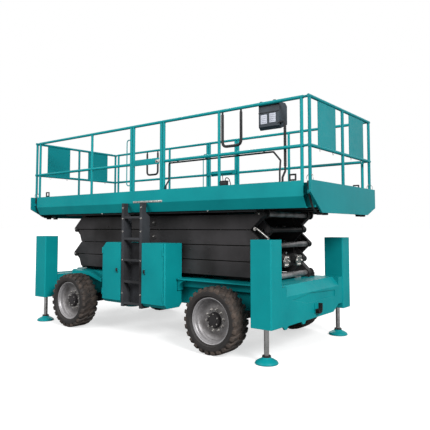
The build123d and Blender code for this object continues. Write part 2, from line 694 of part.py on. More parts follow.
def ladder(s):
    """Two deep stringers that thin out beside the skirt, rungs and a backing plate."""
    inner = LADDER_OUT_Y - LADDER_DEPTH
    thin = SKIRT_Y + 2 * SIDE_GAP
    neck = PLATFORM_BOTTOM - 2 * SIDE_GAP
    outline = [(LADDER_OUT_Y, LADDER_BOTTOM), (LADDER_OUT_Y, LADDER_TOP), (thin, LADDER_TOP),
               (thin, neck), (inner, neck - 60), (inner, LADDER_BOTTOM)]
    stringers = [plate_yz([(s * y, z) for y, z in outline], x - STRINGER_HALF, x + STRINGER_HALF)
                 for x in (LADDER_LEFT_X, LADDER_RIGHT_X)]
    rungs = [block(LADDER_LEFT_X, LADDER_RIGHT_X, s * (LADDER_OUT_Y - 5 - RUNG_DEPTH),
                   s * (LADDER_OUT_Y - 5), z, z + RUNG_T)
             for z in [FIRST_RUNG_Z + RUNG_PITCH * i for i in range(RUNGS)]]
    back = block(LADDER_LEFT_X, LADDER_RIGHT_X, s * inner, s * (inner + 10),
                 LADDER_BOTTOM + 10, LADDER_BACK_TOP)
    ties = [block(x - STRINGER_HALF, x + STRINGER_HALF, s * SILL_Y, s * (inner + 5), z, z + 60)
            for x in (LADDER_LEFT_X, LADDER_RIGHT_X) for z in (SILL_BOTTOM, SILL_BOTTOM + 50)]
    return fuse(stringers + rungs + [back] + ties)


def engine_block():
    """One plain block for the diesel engine in the left front cabinet."""
    _, x0, x1, _, _ = CABINETS[1]
    return block(x0 + ENGINE_ROOM, x1 - ENGINE_ROOM, CABINET_IN_Y + 75, CABINET_OUT_Y - 60,
                 CABINET_BOTTOM + CABINET_WALL, CABINET_BOTTOM + CABINET_WALL + ENGINE_H)


# ---------------------------------------------------------- scissor linkage
def layer(index):
    """Height of a pin line; 0 is the lowest."""
    return STACK_BOTTOM + index * PITCH


def arm_ends(level, outer):
    """The side of the lower pin: +1 for the +X end."""
    lower_right = (level % 2 == 1) if outer else (level % 2 == 0)
    return 1 if lower_right else -1


def eye_band(y_mid, s, lower):
    """The y range of an eye plate: inner half for a pin's owner, outer half else."""
    half = ARM_W / 2
    if lower:
        return s * (y_mid - half), s * (y_mid - LAP_GAP / 2)
    return s * (y_mid + LAP_GAP / 2), s * (y_mid + half)


def arm_side(level, outer, s):
    """One arm: a parallelogram tube, with an eye plate at either pin."""
    y_mid = OUTER_ARM_Y if outer else INNER_ARM_Y
    d = arm_ends(level, outer)
    z_low = layer(level - 1)
    z_high = layer(level)
    low = z_low + ARM_GAP / 2
    high = z_high - ARM_GAP / 2
    y0 = s * (y_mid - ARM_W / 2)
    y1 = s * (y_mid + ARM_W / 2)
    tube = plate_xz([
        (d * (PIN_X - ARM_TOP_CUT), low), (-d * (PIN_X - ARM_LOW_CUT), low),
        (-d * (PIN_X - ARM_TOP_CUT), high), (d * (PIN_X - ARM_LOW_CUT), high),
    ], y0, y1)
    arm = tube
    for pin_x, pin_z, sign, owner in ((d * PIN_X, z_low, 1, level == 1),
                                      (-d * PIN_X, z_high, -1, level < LEVELS)):
        full = (level == 1 and sign == 1) or (level == LEVELS and sign == -1)
        e0, e1 = (y0, y1) if full else eye_band(y_mid, s, owner)
        toward = -1 if pin_x > 0 else 1
        edge_near = pin_z + sign * ARM_GAP / 2
        edge_far = (high if sign == 1 else low)
        web = plate_xz([
            (pin_x - toward * 0.55 * EYE_R, pin_z + sign * 0.82 * EYE_R),
            (pin_x, edge_near), (pin_x + toward * (ARM_TOP_CUT + 30), edge_near),
            (pin_x + toward * (ARM_LOW_CUT + 30), edge_far),
            (pin_x + toward * ARM_LOW_CUT, edge_far),
        ], e0, e1)
        arm = arm + web + rod_y(e0, e1, pin_x, pin_z, EYE_R)
    return arm


def scissor_pair(level, outer):
    """Both arms of one level with the cross tubes and pins that join them."""
    y_mid = OUTER_ARM_Y if outer else INNER_ARM_Y
    d = arm_ends(level, outer)
    low_pin = (d * PIN_X, layer(level - 1))
    high_pin = (-d * PIN_X, layer(level))
    pieces = [arm_side(level, outer, s) for _, s in SIDES]
    reach = y_mid + ARM_W / 2 + 5
    if level < LEVELS:
        pieces.append(rod_y(-reach, reach, high_pin[0], high_pin[1], CROSS_TUBE_R))
    if outer and level in (1, LEVELS):
        pin = low_pin if level == 1 else high_pin
        wide = OUTER_ARM_Y + ARM_W / 2 + SIDE_GAP + 28
        pieces.append(rod_y(-wide, wide, pin[0], pin[1], CROSS_TUBE_R))
    pieces += mid_pins(level) if outer else []
    if not outer and level >= 3:
        pieces += inner_ties(level)
    pair = fuse(pieces)
    if level > 1:
        bore = rod_y(-reach - 5, reach + 5, low_pin[0], low_pin[1], CROSS_TUBE_R + RUNNING_GAP)
        pair = pair - bore
    if not outer:
        middle_z = (layer(level) + layer(level - 1)) / 2
        for _, s in SIDES:
            outer_face = INNER_ARM_Y + ARM_W / 2
            pair = pair - rod_y(s * (outer_face - 60), s * (outer_face + 5), 0, middle_z,
                                MID_PIN_R + RUNNING_GAP)
    if not outer and level in (1, LEVELS):
        pair = with_rollers(pair, level, low_pin if level == 1 else high_pin)
    return pair


def mid_pins(level):
    """Stub pins, with a thrust collar, from the outer arms into the inner ones."""
    middle_z = (layer(level) + layer(level - 1)) / 2
    outer_inside = OUTER_ARM_Y - ARM_W / 2
    inner_outside = INNER_ARM_Y + ARM_W / 2
    pins = []
    for _, s in SIDES:
        pins.append(rod_y(s * (inner_outside - 50), s * (outer_inside + 5), 0, middle_z,
                          MID_PIN_R))
        pins.append(rod_y(s * (inner_outside + SIDE_GAP), s * (outer_inside + 1), 0, middle_z,
                          MID_BOSS_R))
        pins.append(rod_y(s * (OUTER_ARM_Y + ARM_W / 2 - 1), s * (OUTER_ARM_Y + ARM_W / 2 + 8),
                          0, middle_z, MID_PIN_R))
    return pins


def with_rollers(pair, level, pin):
    """The arms with a roller inside each, on its own pin through the arm's eye."""
    inside = INNER_ARM_Y - ARM_W / 2
    outside = INNER_ARM_Y + ARM_W / 2
    gap = STACK_BOTTOM - CHASSIS_TOP if level == 1 else PLATFORM_BOTTOM - STACK_TOP
    for _, s in SIDES:
        pair = pair - rod_y(s * (inside - SIDE_GAP), s * (outside + SIDE_GAP), pin[0], pin[1],
                            ROLLER_PIN_R + RUNNING_GAP)
    for _, s in SIDES:
        roller_in = inside - SIDE_GAP - ROLLER_W
        wheel = rod_y(s * roller_in, s * (inside - SIDE_GAP), pin[0], pin[1], gap - SEAT_GAP)
        pair = pair + (wheel + rod_y(s * roller_in, s * outside, pin[0], pin[1], ROLLER_PIN_R))
    return pair


def inner_ties(level):
    """A cross tube between the inner arms; on level 3 it carries the rod lugs."""
    inside = INNER_ARM_Y - ARM_W / 2
    if level == LEVELS:
        z = (layer(level) + layer(level - 1)) / 2
        return [rod_y(-inside - 2, inside + 2, TOP_TIE_X, z, CROSS_TUBE_R - 4)]
    x, z = rod_eye_point()
    tube_z = layer(3) - 60
    pieces = [rod_y(-inside - 2, inside + 2, x, tube_z, 38)]
    for y in (-CYLINDER_Y, CYLINDER_Y):
        for side in (-1, 1):
            y0 = y + side * (EYE_W / 2 + SIDE_GAP)
            pieces.append(block(x - 48, x + 48, y0, y0 + side * LUG_T, z - 8, tube_z))
            pieces.append(rod_y(y0, y0 + side * LUG_T, x, z, 48))
    return pieces


# ----------------------------------------------------------- lift cylinders
ARM_ANGLE = atan2(PITCH, 2 * PIN_X)


def rod_eye_point():
    """Where the rod eyes lie between their lugs, stowed: (x, z)."""
    return (-PIN_X + ROD_LUG_OFFSET * cos(ARM_ANGLE), layer(2) + ROD_LUG_OFFSET * sin(ARM_ANGLE))


def cylinder_line():
    """The base eye, the rod eye, the slope in radians and the closed length."""
    x0, z0 = PIN_X, layer(1)
    x1, z1 = rod_eye_point()
    return (x0, z0), (x1, z1), atan2(z1 - z0, x0 - x1), hypot(x1 - x0, z1 - z0)


def along(base, slope, distance, y):
    """A place on the cylinder's line, with z turned along the line to the rod eye."""
    x = base[0] - distance * cos(slope)
    z = base[1] + distance * sin(slope)
    return Pos(x, y, z) * Rot(0, -90 + degrees(slope), 0)


def lift_barrels():
    """Two barrels side by side, each with a split-free eye on the cross tube."""
    base, _, slope, closed = cylinder_line()
    barrels = []
    length = closed - 150
    for y in (-CYLINDER_Y, CYLINDER_Y):
        tube = along(base, slope, (60 + length) / 2, y) * Cylinder(BARREL_R, length - 60)
        gland = along(base, slope, length - 35, y) * Cylinder(BARREL_R + 9, 70)
        eye = rod_y(y - EYE_W / 2, y + EYE_W / 2, base[0], base[1], BARREL_EYE_R)
        barrel = tube + gland + eye
        bore = along(base, slope, (130 + length) / 2 + 10, y) * Cylinder(ROD_R + RUNNING_GAP,
                                                                       length - 110)
        hole = rod_y(y - EYE_W, y + EYE_W, base[0], base[1], CROSS_TUBE_R + RUNNING_GAP)
        barrels.append(barrel - bore - hole)
    spacer = block(base[0] - 360, base[0] - 300, -CYLINDER_Y, CYLINDER_Y,
                   base[1] - 20, base[1] + 20)
    spacer = Pos(0, 0, 330 * sin(slope)) * spacer
    cores = [along(base, slope, (130 + length) / 2 + 10, y) * Cylinder(ROD_R + 5, length - 110)
             for y in (-CYLINDER_Y, CYLINDER_Y)]
    for core in cores:
        spacer = spacer - core
    return fuse(barrels + [spacer])


def lift_rods():
    """Two rods with their eyes, joined by a bar behind the eyes."""
    base, eye_at, slope, closed = cylinder_line()
    rods = []
    start = 200
    end = closed - 20
    for y in (-CYLINDER_Y, CYLINDER_Y):
        rod = along(base, slope, (start + end) / 2, y) * Cylinder(ROD_R, end - start)
        eye = rod_y(y - EYE_W / 2, y + EYE_W / 2, eye_at[0], eye_at[1], 58)
        rods.append(rod + eye)
    link = rod_y(-CYLINDER_Y, CYLINDER_Y, eye_at[0] + 100, eye_at[1] - 100 * sin(slope), 18)
    return fuse(rods + [link])


# ----------------------------------------------------------------- platform
def main_deck():
    """The floor with its folded skirts and toe boards."""
    half = PLATFORM_HALF_X
    t = SKIRT_T
    pieces = [block(-half, half, -SKIRT_Y + 2, SKIRT_Y - 2, FLOOR_TOP - FLOOR_T, FLOOR_TOP)]
    for _, s in SIDES:
        profile = [(SKIRT_Y - t, TOE_TOP), (SKIRT_Y, TOE_TOP), (SKIRT_Y, SKIRT_FOLD),
                   (SKIRT_FOOT_Y, PLATFORM_BOTTOM), (SKIRT_FOOT_Y - SKIRT_LIP, PLATFORM_BOTTOM),
                   (SKIRT_FOOT_Y - SKIRT_LIP, PLATFORM_BOTTOM + t),
                   (SKIRT_FOOT_Y - 8, PLATFORM_BOTTOM + t), (SKIRT_Y - t, SKIRT_FOLD + 2)]
        pieces.append(plate_yz([(s * y, z) for y, z in profile], -half, half))
    return fuse(pieces)


def underframe():
    """Beams under the floor, with the brackets and tracks for the arms."""
    half = PLATFORM_HALF_X - FRAME_END_IN
    top = FLOOR_TOP - FLOOR_T - SEAT_GAP
    width = SKIRT_FOOT_Y - SKIRT_LIP - SIDE_GAP
    pieces = [block(-half, half, s * FRAME_RAIL_IN, s * FRAME_RAIL_OUT, PLATFORM_BOTTOM, top)
              for _, s in SIDES]
    for x in (-half, -FRAME_BAY, 0, FRAME_BAY, half):
        pieces.append(block(x - FRAME_CROSS_W / 2, x + FRAME_CROSS_W / 2, -width, width,
                            PLATFORM_BOTTOM + 30, top))
    pieces += upper_brackets() + upper_tracks()
    return fuse(pieces)


def upper_brackets():
    """Ears under the deck that hold the topmost outer pins."""
    pieces = []
    for _, s in SIDES:
        pieces.append(block(PIN_X - 90, PIN_X + 90, s * (FRAME_RAIL_OUT - 2),
                            s * (OUTER_ARM_Y + ARM_W / 2 + SIDE_GAP + 24),
                            PLATFORM_BOTTOM + 4, FLOOR_TOP - FLOOR_T - SEAT_GAP))
        for y in (OUTER_ARM_Y - ARM_W / 2 - SIDE_GAP - 24, OUTER_ARM_Y + ARM_W / 2 + SIDE_GAP):
            ear = block(PIN_X - 60, PIN_X + 60, s * y, s * (y + 24),
                        STACK_TOP, PLATFORM_BOTTOM + 6)
            ear = ear + rod_y(s * y, s * (y + 24), PIN_X, STACK_TOP, 60)
            pieces.append(ear - rod_y(s * (y - 2), s * (y + 26), PIN_X, STACK_TOP,
                                      CROSS_TUBE_R + RUNNING_GAP))
    return pieces


def upper_tracks():
    """Channels under the deck that hold the topmost rollers."""
    lip_low = STACK_TOP - PIN_UNDER_DECK - SIDE_GAP - LIP_T
    tracks = []
    for _, s in SIDES:
        web, lip = track(s, lip_low, PLATFORM_BOTTOM + 2, lip_low)
        tracks += [web, Pos(0, -s * 2 * SEAT_GAP, 0) * lip]
    return tracks


def main_guard_rails(s):
    """Rails and posts of one long side; the mid rail stops at the gate."""
    z_top = RAIL_TOP - RAIL_R
    y = s * RAIL_Y
    gate_half = GATE_POST_W / 2
    end_x = CORNER_X + RAIL_STUB
    pieces = [rod_x(-end_x, end_x, y, z_top, RAIL_R),
              rod_x(-end_x, GATE_LEFT_X - gate_half + 5, y, MID_RAIL_Z, RAIL_R),
              rod_x(GATE_RIGHT_X + gate_half - 5, end_x, y, MID_RAIL_Z, RAIL_R)]
    for x in (-CORNER_X, REAR_POST_X, FRONT_POST_X, CORNER_X):
        pieces.append(rod_z(FLOOR_TOP + SEAT_GAP, z_top, x, y, POST_R))
    for x in (GATE_LEFT_X, GATE_RIGHT_X):
        for step in (-gate_half + POST_R, gate_half - POST_R):
            pieces.append(rod_z(FLOOR_TOP + SEAT_GAP, z_top, x + step, y, POST_R))
        pieces.append(block(x - gate_half + POST_R, x + gate_half - POST_R, y - 6, y + 6,
                            FLOOR_TOP + 40, z_top))
    loop_in = GATE_LEFT_X - gate_half + 5
    loop_out = GATE_LEFT_X - gate_half - LOOP_OUT
    low, high = LOOP_Z
    pieces.append(bent_tube([(loop_in, y, low), (loop_out, y, low), (loop_out, y, high),
                             (loop_in, y, high)], 40, LOOP_R))
    rails = fuse(pieces)
    for _, e in ENDS:
        for z in (z_top, MID_RAIL_Z):
            rails = rails - rod_x(e * (EXT_TUBE_BACK - 20), e * (end_x + 5), y, z,
                                  EXT_TUBE_R + RUNNING_GAP)
    return rails


def gate_bar(s):
    """A bar between the gate posts that slides up to let a person in."""
    gate_half = GATE_POST_W / 2
    x0 = GATE_LEFT_X + gate_half + 2 * PANEL_GAP
    x1 = GATE_RIGHT_X - gate_half - 2 * PANEL_GAP
    y = s * RAIL_Y
    half = KEEPER_T / 2
    bar = rod_x(x0, x1, y, MID_RAIL_Z + GATE_RAISE, BAR_R)
    inside = y - s * (POST_R + SEAT_GAP + half)
    low, high = MID_RAIL_Z - 20, MID_RAIL_Z + 44
    keepers = [block(x - 60, x + 20, inside - half, inside + half, low, high)
               for x in (x0, x1 + 40)]
    studs = [block(x - 12, x + 12, inside - half, y, MID_RAIL_Z, MID_RAIL_Z + 2 * GATE_RAISE)
             for x in (x0 + 8, x1 - 8)]
    return fuse([bar] + keepers + studs)


def extension_deck(e):
    """Sliding floor, side boards and the big end plate."""
    low_floor = FLOOR_TOP + SEAT_GAP
    back = EXT_FLOOR_BACK
    face = EXT_END_X - EXT_PLATE_T
    pieces = [block(e * back, e * (face + 2), -EXT_SIDE_Y, EXT_SIDE_Y,
                    low_floor, low_floor + EXT_FLOOR_T)]
    for _, s in SIDES:
        pieces.append(block(e * (back + 150), e * (face + 2), s * (EXT_SIDE_Y - 8),
                            s * EXT_SIDE_Y, low_floor, TOE_TOP - 20))
        pieces.append(block(e * (EXT_POST_X - RAIL_R - 3), e * (face + 2), s * (EXT_SIDE_Y - 4),
                            s * (RAIL_Y + RAIL_R + 4), low_floor, POST_FOOT_TOP))
    right, left = EXT_CORNER_H[(e, -1)], EXT_CORNER_H[(e, 1)]
    outline = [(-EXT_HALF_Y, TOE_TOP), (-EXT_HALF_Y, EXT_PLATE_BOTTOM + right),
               (EXT_CORNER - EXT_HALF_Y, EXT_PLATE_BOTTOM),
               (EXT_HALF_Y - EXT_CORNER, EXT_PLATE_BOTTOM),
               (EXT_HALF_Y, EXT_PLATE_BOTTOM + left), (EXT_HALF_Y, TOE_TOP)]
    pieces.append(plate_yz(outline, e * face, e * EXT_END_X))
    return fuse(pieces)


def extension_rails(e):
    """End rails with two panels, and tubes that telescope into the main rails."""
    z_top = RAIL_TOP - RAIL_R
    x = e * EXT_POST_X
    floor = FLOOR_TOP + SEAT_GAP + EXT_FLOOR_T
    pieces = [rod_z(floor, z_top, x, 0, POST_R)]
    for z in (z_top, MID_RAIL_Z):
        pieces.append(rod_y(-RAIL_Y - RAIL_STUB, RAIL_Y + RAIL_STUB, x, z, RAIL_R))
    for _, s in SIDES:
        y = s * RAIL_Y
        pieces.append(rod_z(POST_FOOT_TOP, z_top, x, y, POST_R))
        for z in (z_top, MID_RAIL_Z):
            pieces.append(rod_x(e * EXT_TUBE_BACK, x, y, z, EXT_TUBE_R))
        pieces.append(block(x - 5, x + 5, s * END_PANEL_IN, s * END_PANEL_OUT,
                            MID_RAIL_Z, z_top))
    return fuse(pieces)


def control_box():
    """The platform control box, hung from the top rail, with a sloping base."""
    y0 = BOX_DEPTH_FROM_RAIL - RAIL_Y
    x0, x1 = BOX_X
    z0, z1 = BOX_Z
    body = plate_yz([(y0, z1), (y0, z0 + 35), (y0 + 40, z0), (y0 + BOX_DEPTH, z0 + 65),
                     (y0 + BOX_DEPTH, z1 - 30), (y0 + BOX_DEPTH - 40, z1)], x0, x1)
    hooks = [block(x - 15, x + 15, -RAIL_Y - 4, y0 + 2, RAIL_TOP + SEAT_GAP, RAIL_TOP + 8)
             for x in (x0 + 50, x1 - 50)]
    risers = [block(x - 15, x + 15, y0 - 1, y0 + 10, z1 - 10, RAIL_TOP + 8)
              for x in (x0 + 50, x1 - 50)]
    return fuse([body] + hooks + risers)


def platform_fittings():
    """Black things on the rails: hand grips, a conduit, the box's cable, anchor rings."""
    toe_y = SKIRT_Y - SKIRT_T / 2
    toe_z = TOE_TOP + SEAT_GAP
    pieces = [conduit(toe_y, toe_z), box_cable(toe_y, toe_z)]
    grip_top = RAIL_TOP - 2 * RAIL_R - SEAT_GAP
    for _, s in SIDES:
        g0, g1 = [-s * x for x in GRIP_X]
        y = s * RAIL_Y
        pieces.append(bent_tube([(g0, y, grip_top), (g0, y, GRIP_BOTTOM_Z), (g1, y, GRIP_BOTTOM_Z),
                                 (g1, y, grip_top)], 70, GRIP_R))
        for x0, x1 in RING_X:
            ring = block(x0, x1, s * toe_y - 5, s * toe_y + 5, toe_z, toe_z + RING_H)
            pieces.append(ring - block(x0 + RING_T, x1 - RING_T, s * toe_y - 9, s * toe_y + 9,
                                       toe_z + RING_T, toe_z + RING_H - RING_T))
    return Compound(children=pieces)


def conduit(toe_y, toe_z):
    """A pipe up from the toe board, along under the mid rail and down again, with clips."""
    y = -(RAIL_Y - POST_R - CONDUIT_R - SIDE_GAP / 2)
    z = MID_RAIL_Z - RAIL_R - CONDUIT_R + 2
    x0, x1 = CONDUIT_X
    pipe = bent_tube([(x0, -toe_y, toe_z), (x0, -toe_y, toe_z + 50), (x0, y, toe_z + 130),
                      (x0, y, z), (x1, y, z), (x1 + 95, y, z - 110), (x1 + 120, -toe_y, toe_z + 120),
                      (x1 + 120, -toe_y, toe_z)], 22, CONDUIT_R)
    clips = [block(x - 8, x + 8, -RAIL_Y - 6, y, z - 4, MID_RAIL_Z - RAIL_R - SEAT_GAP)
             for x in CLIP_X]
    return fuse([pipe] + clips)


def box_cable(toe_y, toe_z):
    """The control box's armoured cable, straight down beside the mid rail."""
    y = -(RAIL_Y - RAIL_R - CABLE_R - SIDE_GAP / 3)
    x0 = BOX_X[1] + SEAT_GAP
    z0 = BOX_Z[0] + 70
    return bent_tube([(x0, y, z0), (CABLE_X, y, z0), (CABLE_X, y, toe_z + 130),
                      (CABLE_X, -toe_y, toe_z + 50), (CABLE_X, -toe_y, toe_z)], 22, CABLE_R)


def tow_hook(e):
    """A forged J-shaped hook on the end plate, open at the top on one side."""
    x0 = end_face(e) + e * SEAT_GAP
    x1 = x0 + e * HOOK_T
    y, z = e * HOOK_Y, HOOK_Z
    base = block(x0, x0 + e * 12, y - HOOK_R, y + HOOK_R, z - 50, z + 75)
    bowl = rod_x(x0 + e * 10, x1, y, z, HOOK_R) - rod_x(x0 + e * 10, x1 + e, y, z, HOOK_R - HOOK_W)
    bowl = bowl - block(x0 + e * 10, x1 + e, y - e * HOOK_R, y + e * (HOOK_R - HOOK_W), z,
                        z + HOOK_R)
    shank = block(x0 + e * 10, x1, y + e * (HOOK_R - HOOK_W), y + e * HOOK_R, z - 1, z + 70)
    web = block(x0 + e * 10, x0 + e * 24, y - HOOK_R + 6, y + HOOK_R - 6, z - HOOK_R + 12, z)
    return fuse([base, bowl, shank, web])


# ------------------------------------------------------------ write the set
def build_all():
    tyre = make_tyre()
    for e_name, e in ENDS:
        for s_name, s in SIDES:
            tail = e_name + "_" + s_name
            turn = 0 if s < 0 else 180
            save(Pos(e * WHEELBASE / 2, s * WHEEL_Y, TYRE_R) * Rot(0, 0, turn) * tyre,
                 "tyre_" + tail)
            save(wheel_rim(e * WHEELBASE / 2, s), "rim_" + tail)
            save(outrigger_housing(e, s), "outrigger_housing_" + tail)
            save(leg_rod(e, s), "leg_rod_" + tail)
            save(leg_pad(e, s), "leg_pad_" + tail)
    for s_name, s in SIDES:
        save(steering_knuckle(s), "steering_knuckle_" + s_name)
        save(ladder(s), "ladder_" + s_name)
        save(gate_bar(s), "gate_bar_" + s_name)
        save(main_guard_rails(s), "main_rails_" + s_name)
        for c_name, x0, x1, hinge_x, corner in CABINETS:
            tail = c_name + "_" + s_name
            save(cabinet_shell(x0, x1, hinge_x, corner, s), "cabinet_" + tail)
            save(cabinet_door(x0, x1, hinge_x, corner, s), "cabinet_door_" + tail)
    save(front_axle(), "front_axle")
    save(rear_axle(), "rear_axle")
    save(chassis_frame(), "chassis_frame")
    save(arm_seats(), "arm_seats")
    save(engine_block(), "engine_block")
    lugs = [tie_down_lug(e, s) for _, e in ENDS for _, s in SIDES]
    save(fuse([tow_hook(1), tow_hook(-1)] + lugs), "tow_and_tie_points")
    for level in range(1, LEVELS + 1):
        save(scissor_pair(level, True), "outer_arms_" + str(level))
        save(scissor_pair(level, False), "inner_arms_" + str(level))
    save(lift_barrels(), "lift_barrels")
    save(lift_rods(), "lift_rods")
    save(main_deck(), "main_deck")
    save(underframe(), "underframe")
    save(control_box(), "control_box")
    save(platform_fittings(), "platform_fittings")
    for e_name, e in ENDS:
        save(extension_deck(e), "extension_deck_" + e_name)
        save(extension_rails(e), "extension_rails_" + e_name)


build_all()
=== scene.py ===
"""Looks of a rough-terrain scissor lift: finishes, tyres, wheels, fittings, floor, light and camera.

Metres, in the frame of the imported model: +X towards the steered end, -Y is the right-hand side.
"""
import json
from math import cos, hypot, pi, radians, sin

import bmesh
import bpy
from mathutils import Matrix, Vector


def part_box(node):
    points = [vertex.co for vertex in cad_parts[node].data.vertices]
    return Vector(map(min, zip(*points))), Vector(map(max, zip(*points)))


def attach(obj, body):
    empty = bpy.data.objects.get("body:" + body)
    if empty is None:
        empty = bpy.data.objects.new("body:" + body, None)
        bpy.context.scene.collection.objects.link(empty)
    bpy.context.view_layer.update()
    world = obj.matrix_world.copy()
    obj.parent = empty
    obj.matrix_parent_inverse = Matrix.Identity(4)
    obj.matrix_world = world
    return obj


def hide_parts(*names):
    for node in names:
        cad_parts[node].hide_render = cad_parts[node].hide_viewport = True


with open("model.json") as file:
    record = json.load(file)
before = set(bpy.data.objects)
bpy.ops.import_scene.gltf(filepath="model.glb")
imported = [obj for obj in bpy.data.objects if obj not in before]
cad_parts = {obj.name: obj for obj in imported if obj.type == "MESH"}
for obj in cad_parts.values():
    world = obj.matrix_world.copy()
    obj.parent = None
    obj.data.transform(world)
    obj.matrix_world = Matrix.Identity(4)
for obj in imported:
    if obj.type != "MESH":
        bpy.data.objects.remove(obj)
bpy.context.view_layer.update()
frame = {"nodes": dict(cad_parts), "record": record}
JOINTS = frame["record"]["behaviour"]["joints"]
ENDS = (("front", 1), ("rear", -1))
HANDS = (("right", -1), ("left", 1))

# ---------------- colours
TEAL = (0.0035, 0.268, 0.285, 1)
TEAL_DEEP = (0.0025, 0.222, 0.243, 1)
# lighter teal of the edges: painted highlight and wear; it also colours the grit on the deck floors
TEAL_WORN_AND_LIT = (0.035, 0.340, 0.350, 1)
# a darker copy of the body teal, and its deep tone, for the extensions' decks and rails: painted
# shade; the deep tone also colours scuffs on the deck floors
TEAL_END_SHADED = (0.0035, 0.215, 0.236, 1)
TEAL_END_DEEP = (0.0030, 0.185, 0.206, 1)
GRIP_COAT = (0.012, 0.140, 0.150, 1)
ARM_BLACK = (0.044, 0.041, 0.043, 1)
# lighter tone of the dark parts' edges: painted highlight and wear
ARM_WORN_AND_LIT = (0.075, 0.068, 0.064, 1)
LADDER_BLACK = (0.052, 0.055, 0.062, 1)
PLASTIC = (0.013, 0.014, 0.016, 1)
HOSE_BLACK = (0.016, 0.016, 0.017, 1)
BOX_BLUE = (0.024, 0.032, 0.041, 1)
PANEL_GREY = (0.420, 0.440, 0.500, 1)
RUBBER = (0.014, 0.013, 0.013, 1)
DUST = (0.120, 0.088, 0.070, 1)
MUD = (0.085, 0.066, 0.054, 1)
SILVER = (0.430, 0.420, 0.430, 1)
SILVER_DARK = (0.105, 0.098, 0.096, 1)
CHROME = (0.80, 0.79, 0.80, 1)
ZINC = (0.62, 0.60, 0.57, 1)
CAST = (0.080, 0.078, 0.078, 1)
GREY_PAINT = (0.360, 0.345, 0.355, 1)

# ---------------- materials
MIX_A, MIX_B, MIX_RESULT = 6, 7, 2  # the colour sockets of a Mix node
BEVEL_SAMPLES = 4
FACE_COSINE = 0.995  # between the bevelled and the true normal, where a face starts
EDGE_COSINE = 0.86  # the same at an edge
HOOK_BASE = 0.0128  # the hooks' base plates, outwards from the frame's end plates
FLOOR_UPRIGHT = 0.9  # upward part of a normal, over which a surface is a floor
FLOOR_BELOW = 2.0  # height under which such a surface is the deck's own


class Shader:
    """A material's node tree with short calls for the nodes it needs."""

    def __init__(self, name):
        self.material = bpy.data.materials.new(name)
        self.material.use_nodes = True
        self.tree = self.material.node_tree
        self.surface = self.tree.nodes["Principled BSDF"]
        self.place = self.node("ShaderNodeTexCoord").outputs["Object"]

    def node(self, kind, **settings):
        made = self.tree.nodes.new(kind)
        for key, value in settings.items():
            setattr(made, key, value)
        return made

    def join(self, a, b):
        self.tree.links.new(a, b)

    def noise(self, scale, detail, rough=0.55, stretch=None):
        """A noise in the piece's own space; stretch scales its three axes."""
        place = self.place
        if stretch:
            squeeze = self.node("ShaderNodeMapping")
            squeeze.inputs["Scale"].default_value = stretch
            self.join(place, squeeze.inputs["Vector"])
            place = squeeze.outputs["Vector"]
        made = self.node("ShaderNodeTexNoise")
        for key, number in (("Scale", scale), ("Detail", detail), ("Roughness", rough)):
            made.inputs[key].default_value = number
        self.join(place, made.inputs["Vector"])
        return made.outputs["Fac"]

    def ramp(self, value, low, high, to_low=0.0, to_high=1.0):
        """Maps low..high of a value to to_low..to_high, clamped."""
        made = self.node("ShaderNodeMapRange")
        for key, number in (("From Min", low), ("From Max", high),
                            ("To Min", to_low), ("To Max", to_high)):
            made.inputs[key].default_value = number
        self.join(value, made.inputs["Value"])
        return made.outputs["Result"]

    def mix(self, factor, a, b):
        """A colour between a and b; each is a colour or an output."""
        made = self.node("ShaderNodeMix", data_type="RGBA")
        self.join(factor, made.inputs["Factor"])
        for key, colour in ((MIX_A, a), (MIX_B, b)):
            if isinstance(colour, tuple):
                made.inputs[key].default_value = colour
            else:
                self.join(colour, made.inputs[key])
        return made.outputs[MIX_RESULT]

    def math(self, operation, a, b):
        """A sum, product or comparison of two values; each is a number or an output."""
        made = self.node("ShaderNodeMath", operation=operation)
        for slot, value in ((0, a), (1, b)):
            if isinstance(value, (int, float)):
                made.inputs[slot].default_value = value
            else:
                self.join(value, made.inputs[slot])
        return made.outputs[0]

    def axis(self, vector, name):
        """The X, Y or Z part of a vector."""
        parts = self.node("ShaderNodeSeparateXYZ")
        self.join(vector, parts.inputs["Vector"])
        return parts.outputs[name]

    def soft_normal(self, radius):
        """The normal as if the solid's edges were rounded by a radius."""
        bevel = self.node("ShaderNodeBevel", samples=BEVEL_SAMPLES)
        bevel.inputs["Radius"].default_value = radius
        return bevel.outputs["Normal"]

    def edges(self, radius):
        """About 1 along the edges of the solid and 0 on its faces."""
        dot = self.node("ShaderNodeVectorMath", operation="DOT_PRODUCT")
        self.join(self.soft_normal(radius), dot.inputs[0])
        self.join(self.node("ShaderNodeNewGeometry").outputs["Normal"], dot.inputs[1])
        return self.ramp(dot.outputs["Value"], FACE_COSINE, EDGE_COSINE)

    def bump(self, height, strength, distance, soft_edge=None):
        """Relief from a height, over edges that catch the light if soft_edge is given."""
        made = self.node("ShaderNodeBump")
        made.inputs["Strength"].default_value = strength
        made.inputs["Distance"].default_value = distance
        self.join(height, made.inputs["Height"])
        if soft_edge:
            self.join(self.soft_normal(soft_edge), made.inputs["Normal"])
        self.join(made.outputs["Normal"], self.surface.inputs["Normal"])

    def set(self, **values):
        """Sets or joins the surface's sockets, whose names have _ for a space."""
        for key, value in values.items():
            socket = self.surface.inputs[key.replace("_", " ")]
            if isinstance(value, (int, float, tuple)):
                socket.default_value = value
            else:
                self.join(value, socket)

    def coat_of(self, tone, tone_deep):
        """Sprayed colour, whose tone drifts slowly."""
        return self.mix(self.ramp(self.noise(1.7, 5), 0.35, 0.68), tone, tone_deep)

    def worn_and_lit_edges(self, edge):
        """Where the edges are lighter, in patches: painted highlight along them, and paint worn thin.
        """
        return self.math("MULTIPLY", self.edges(edge),
                         self.ramp(self.noise(22.0, 3), 0.40, 0.62, 0.25, 0.8))

    def orange_peel(self, edge):
        """The fine ripple of sprayed paint."""
        self.bump(self.noise(520.0, 2), 0.10, 0.0006, soft_edge=edge)


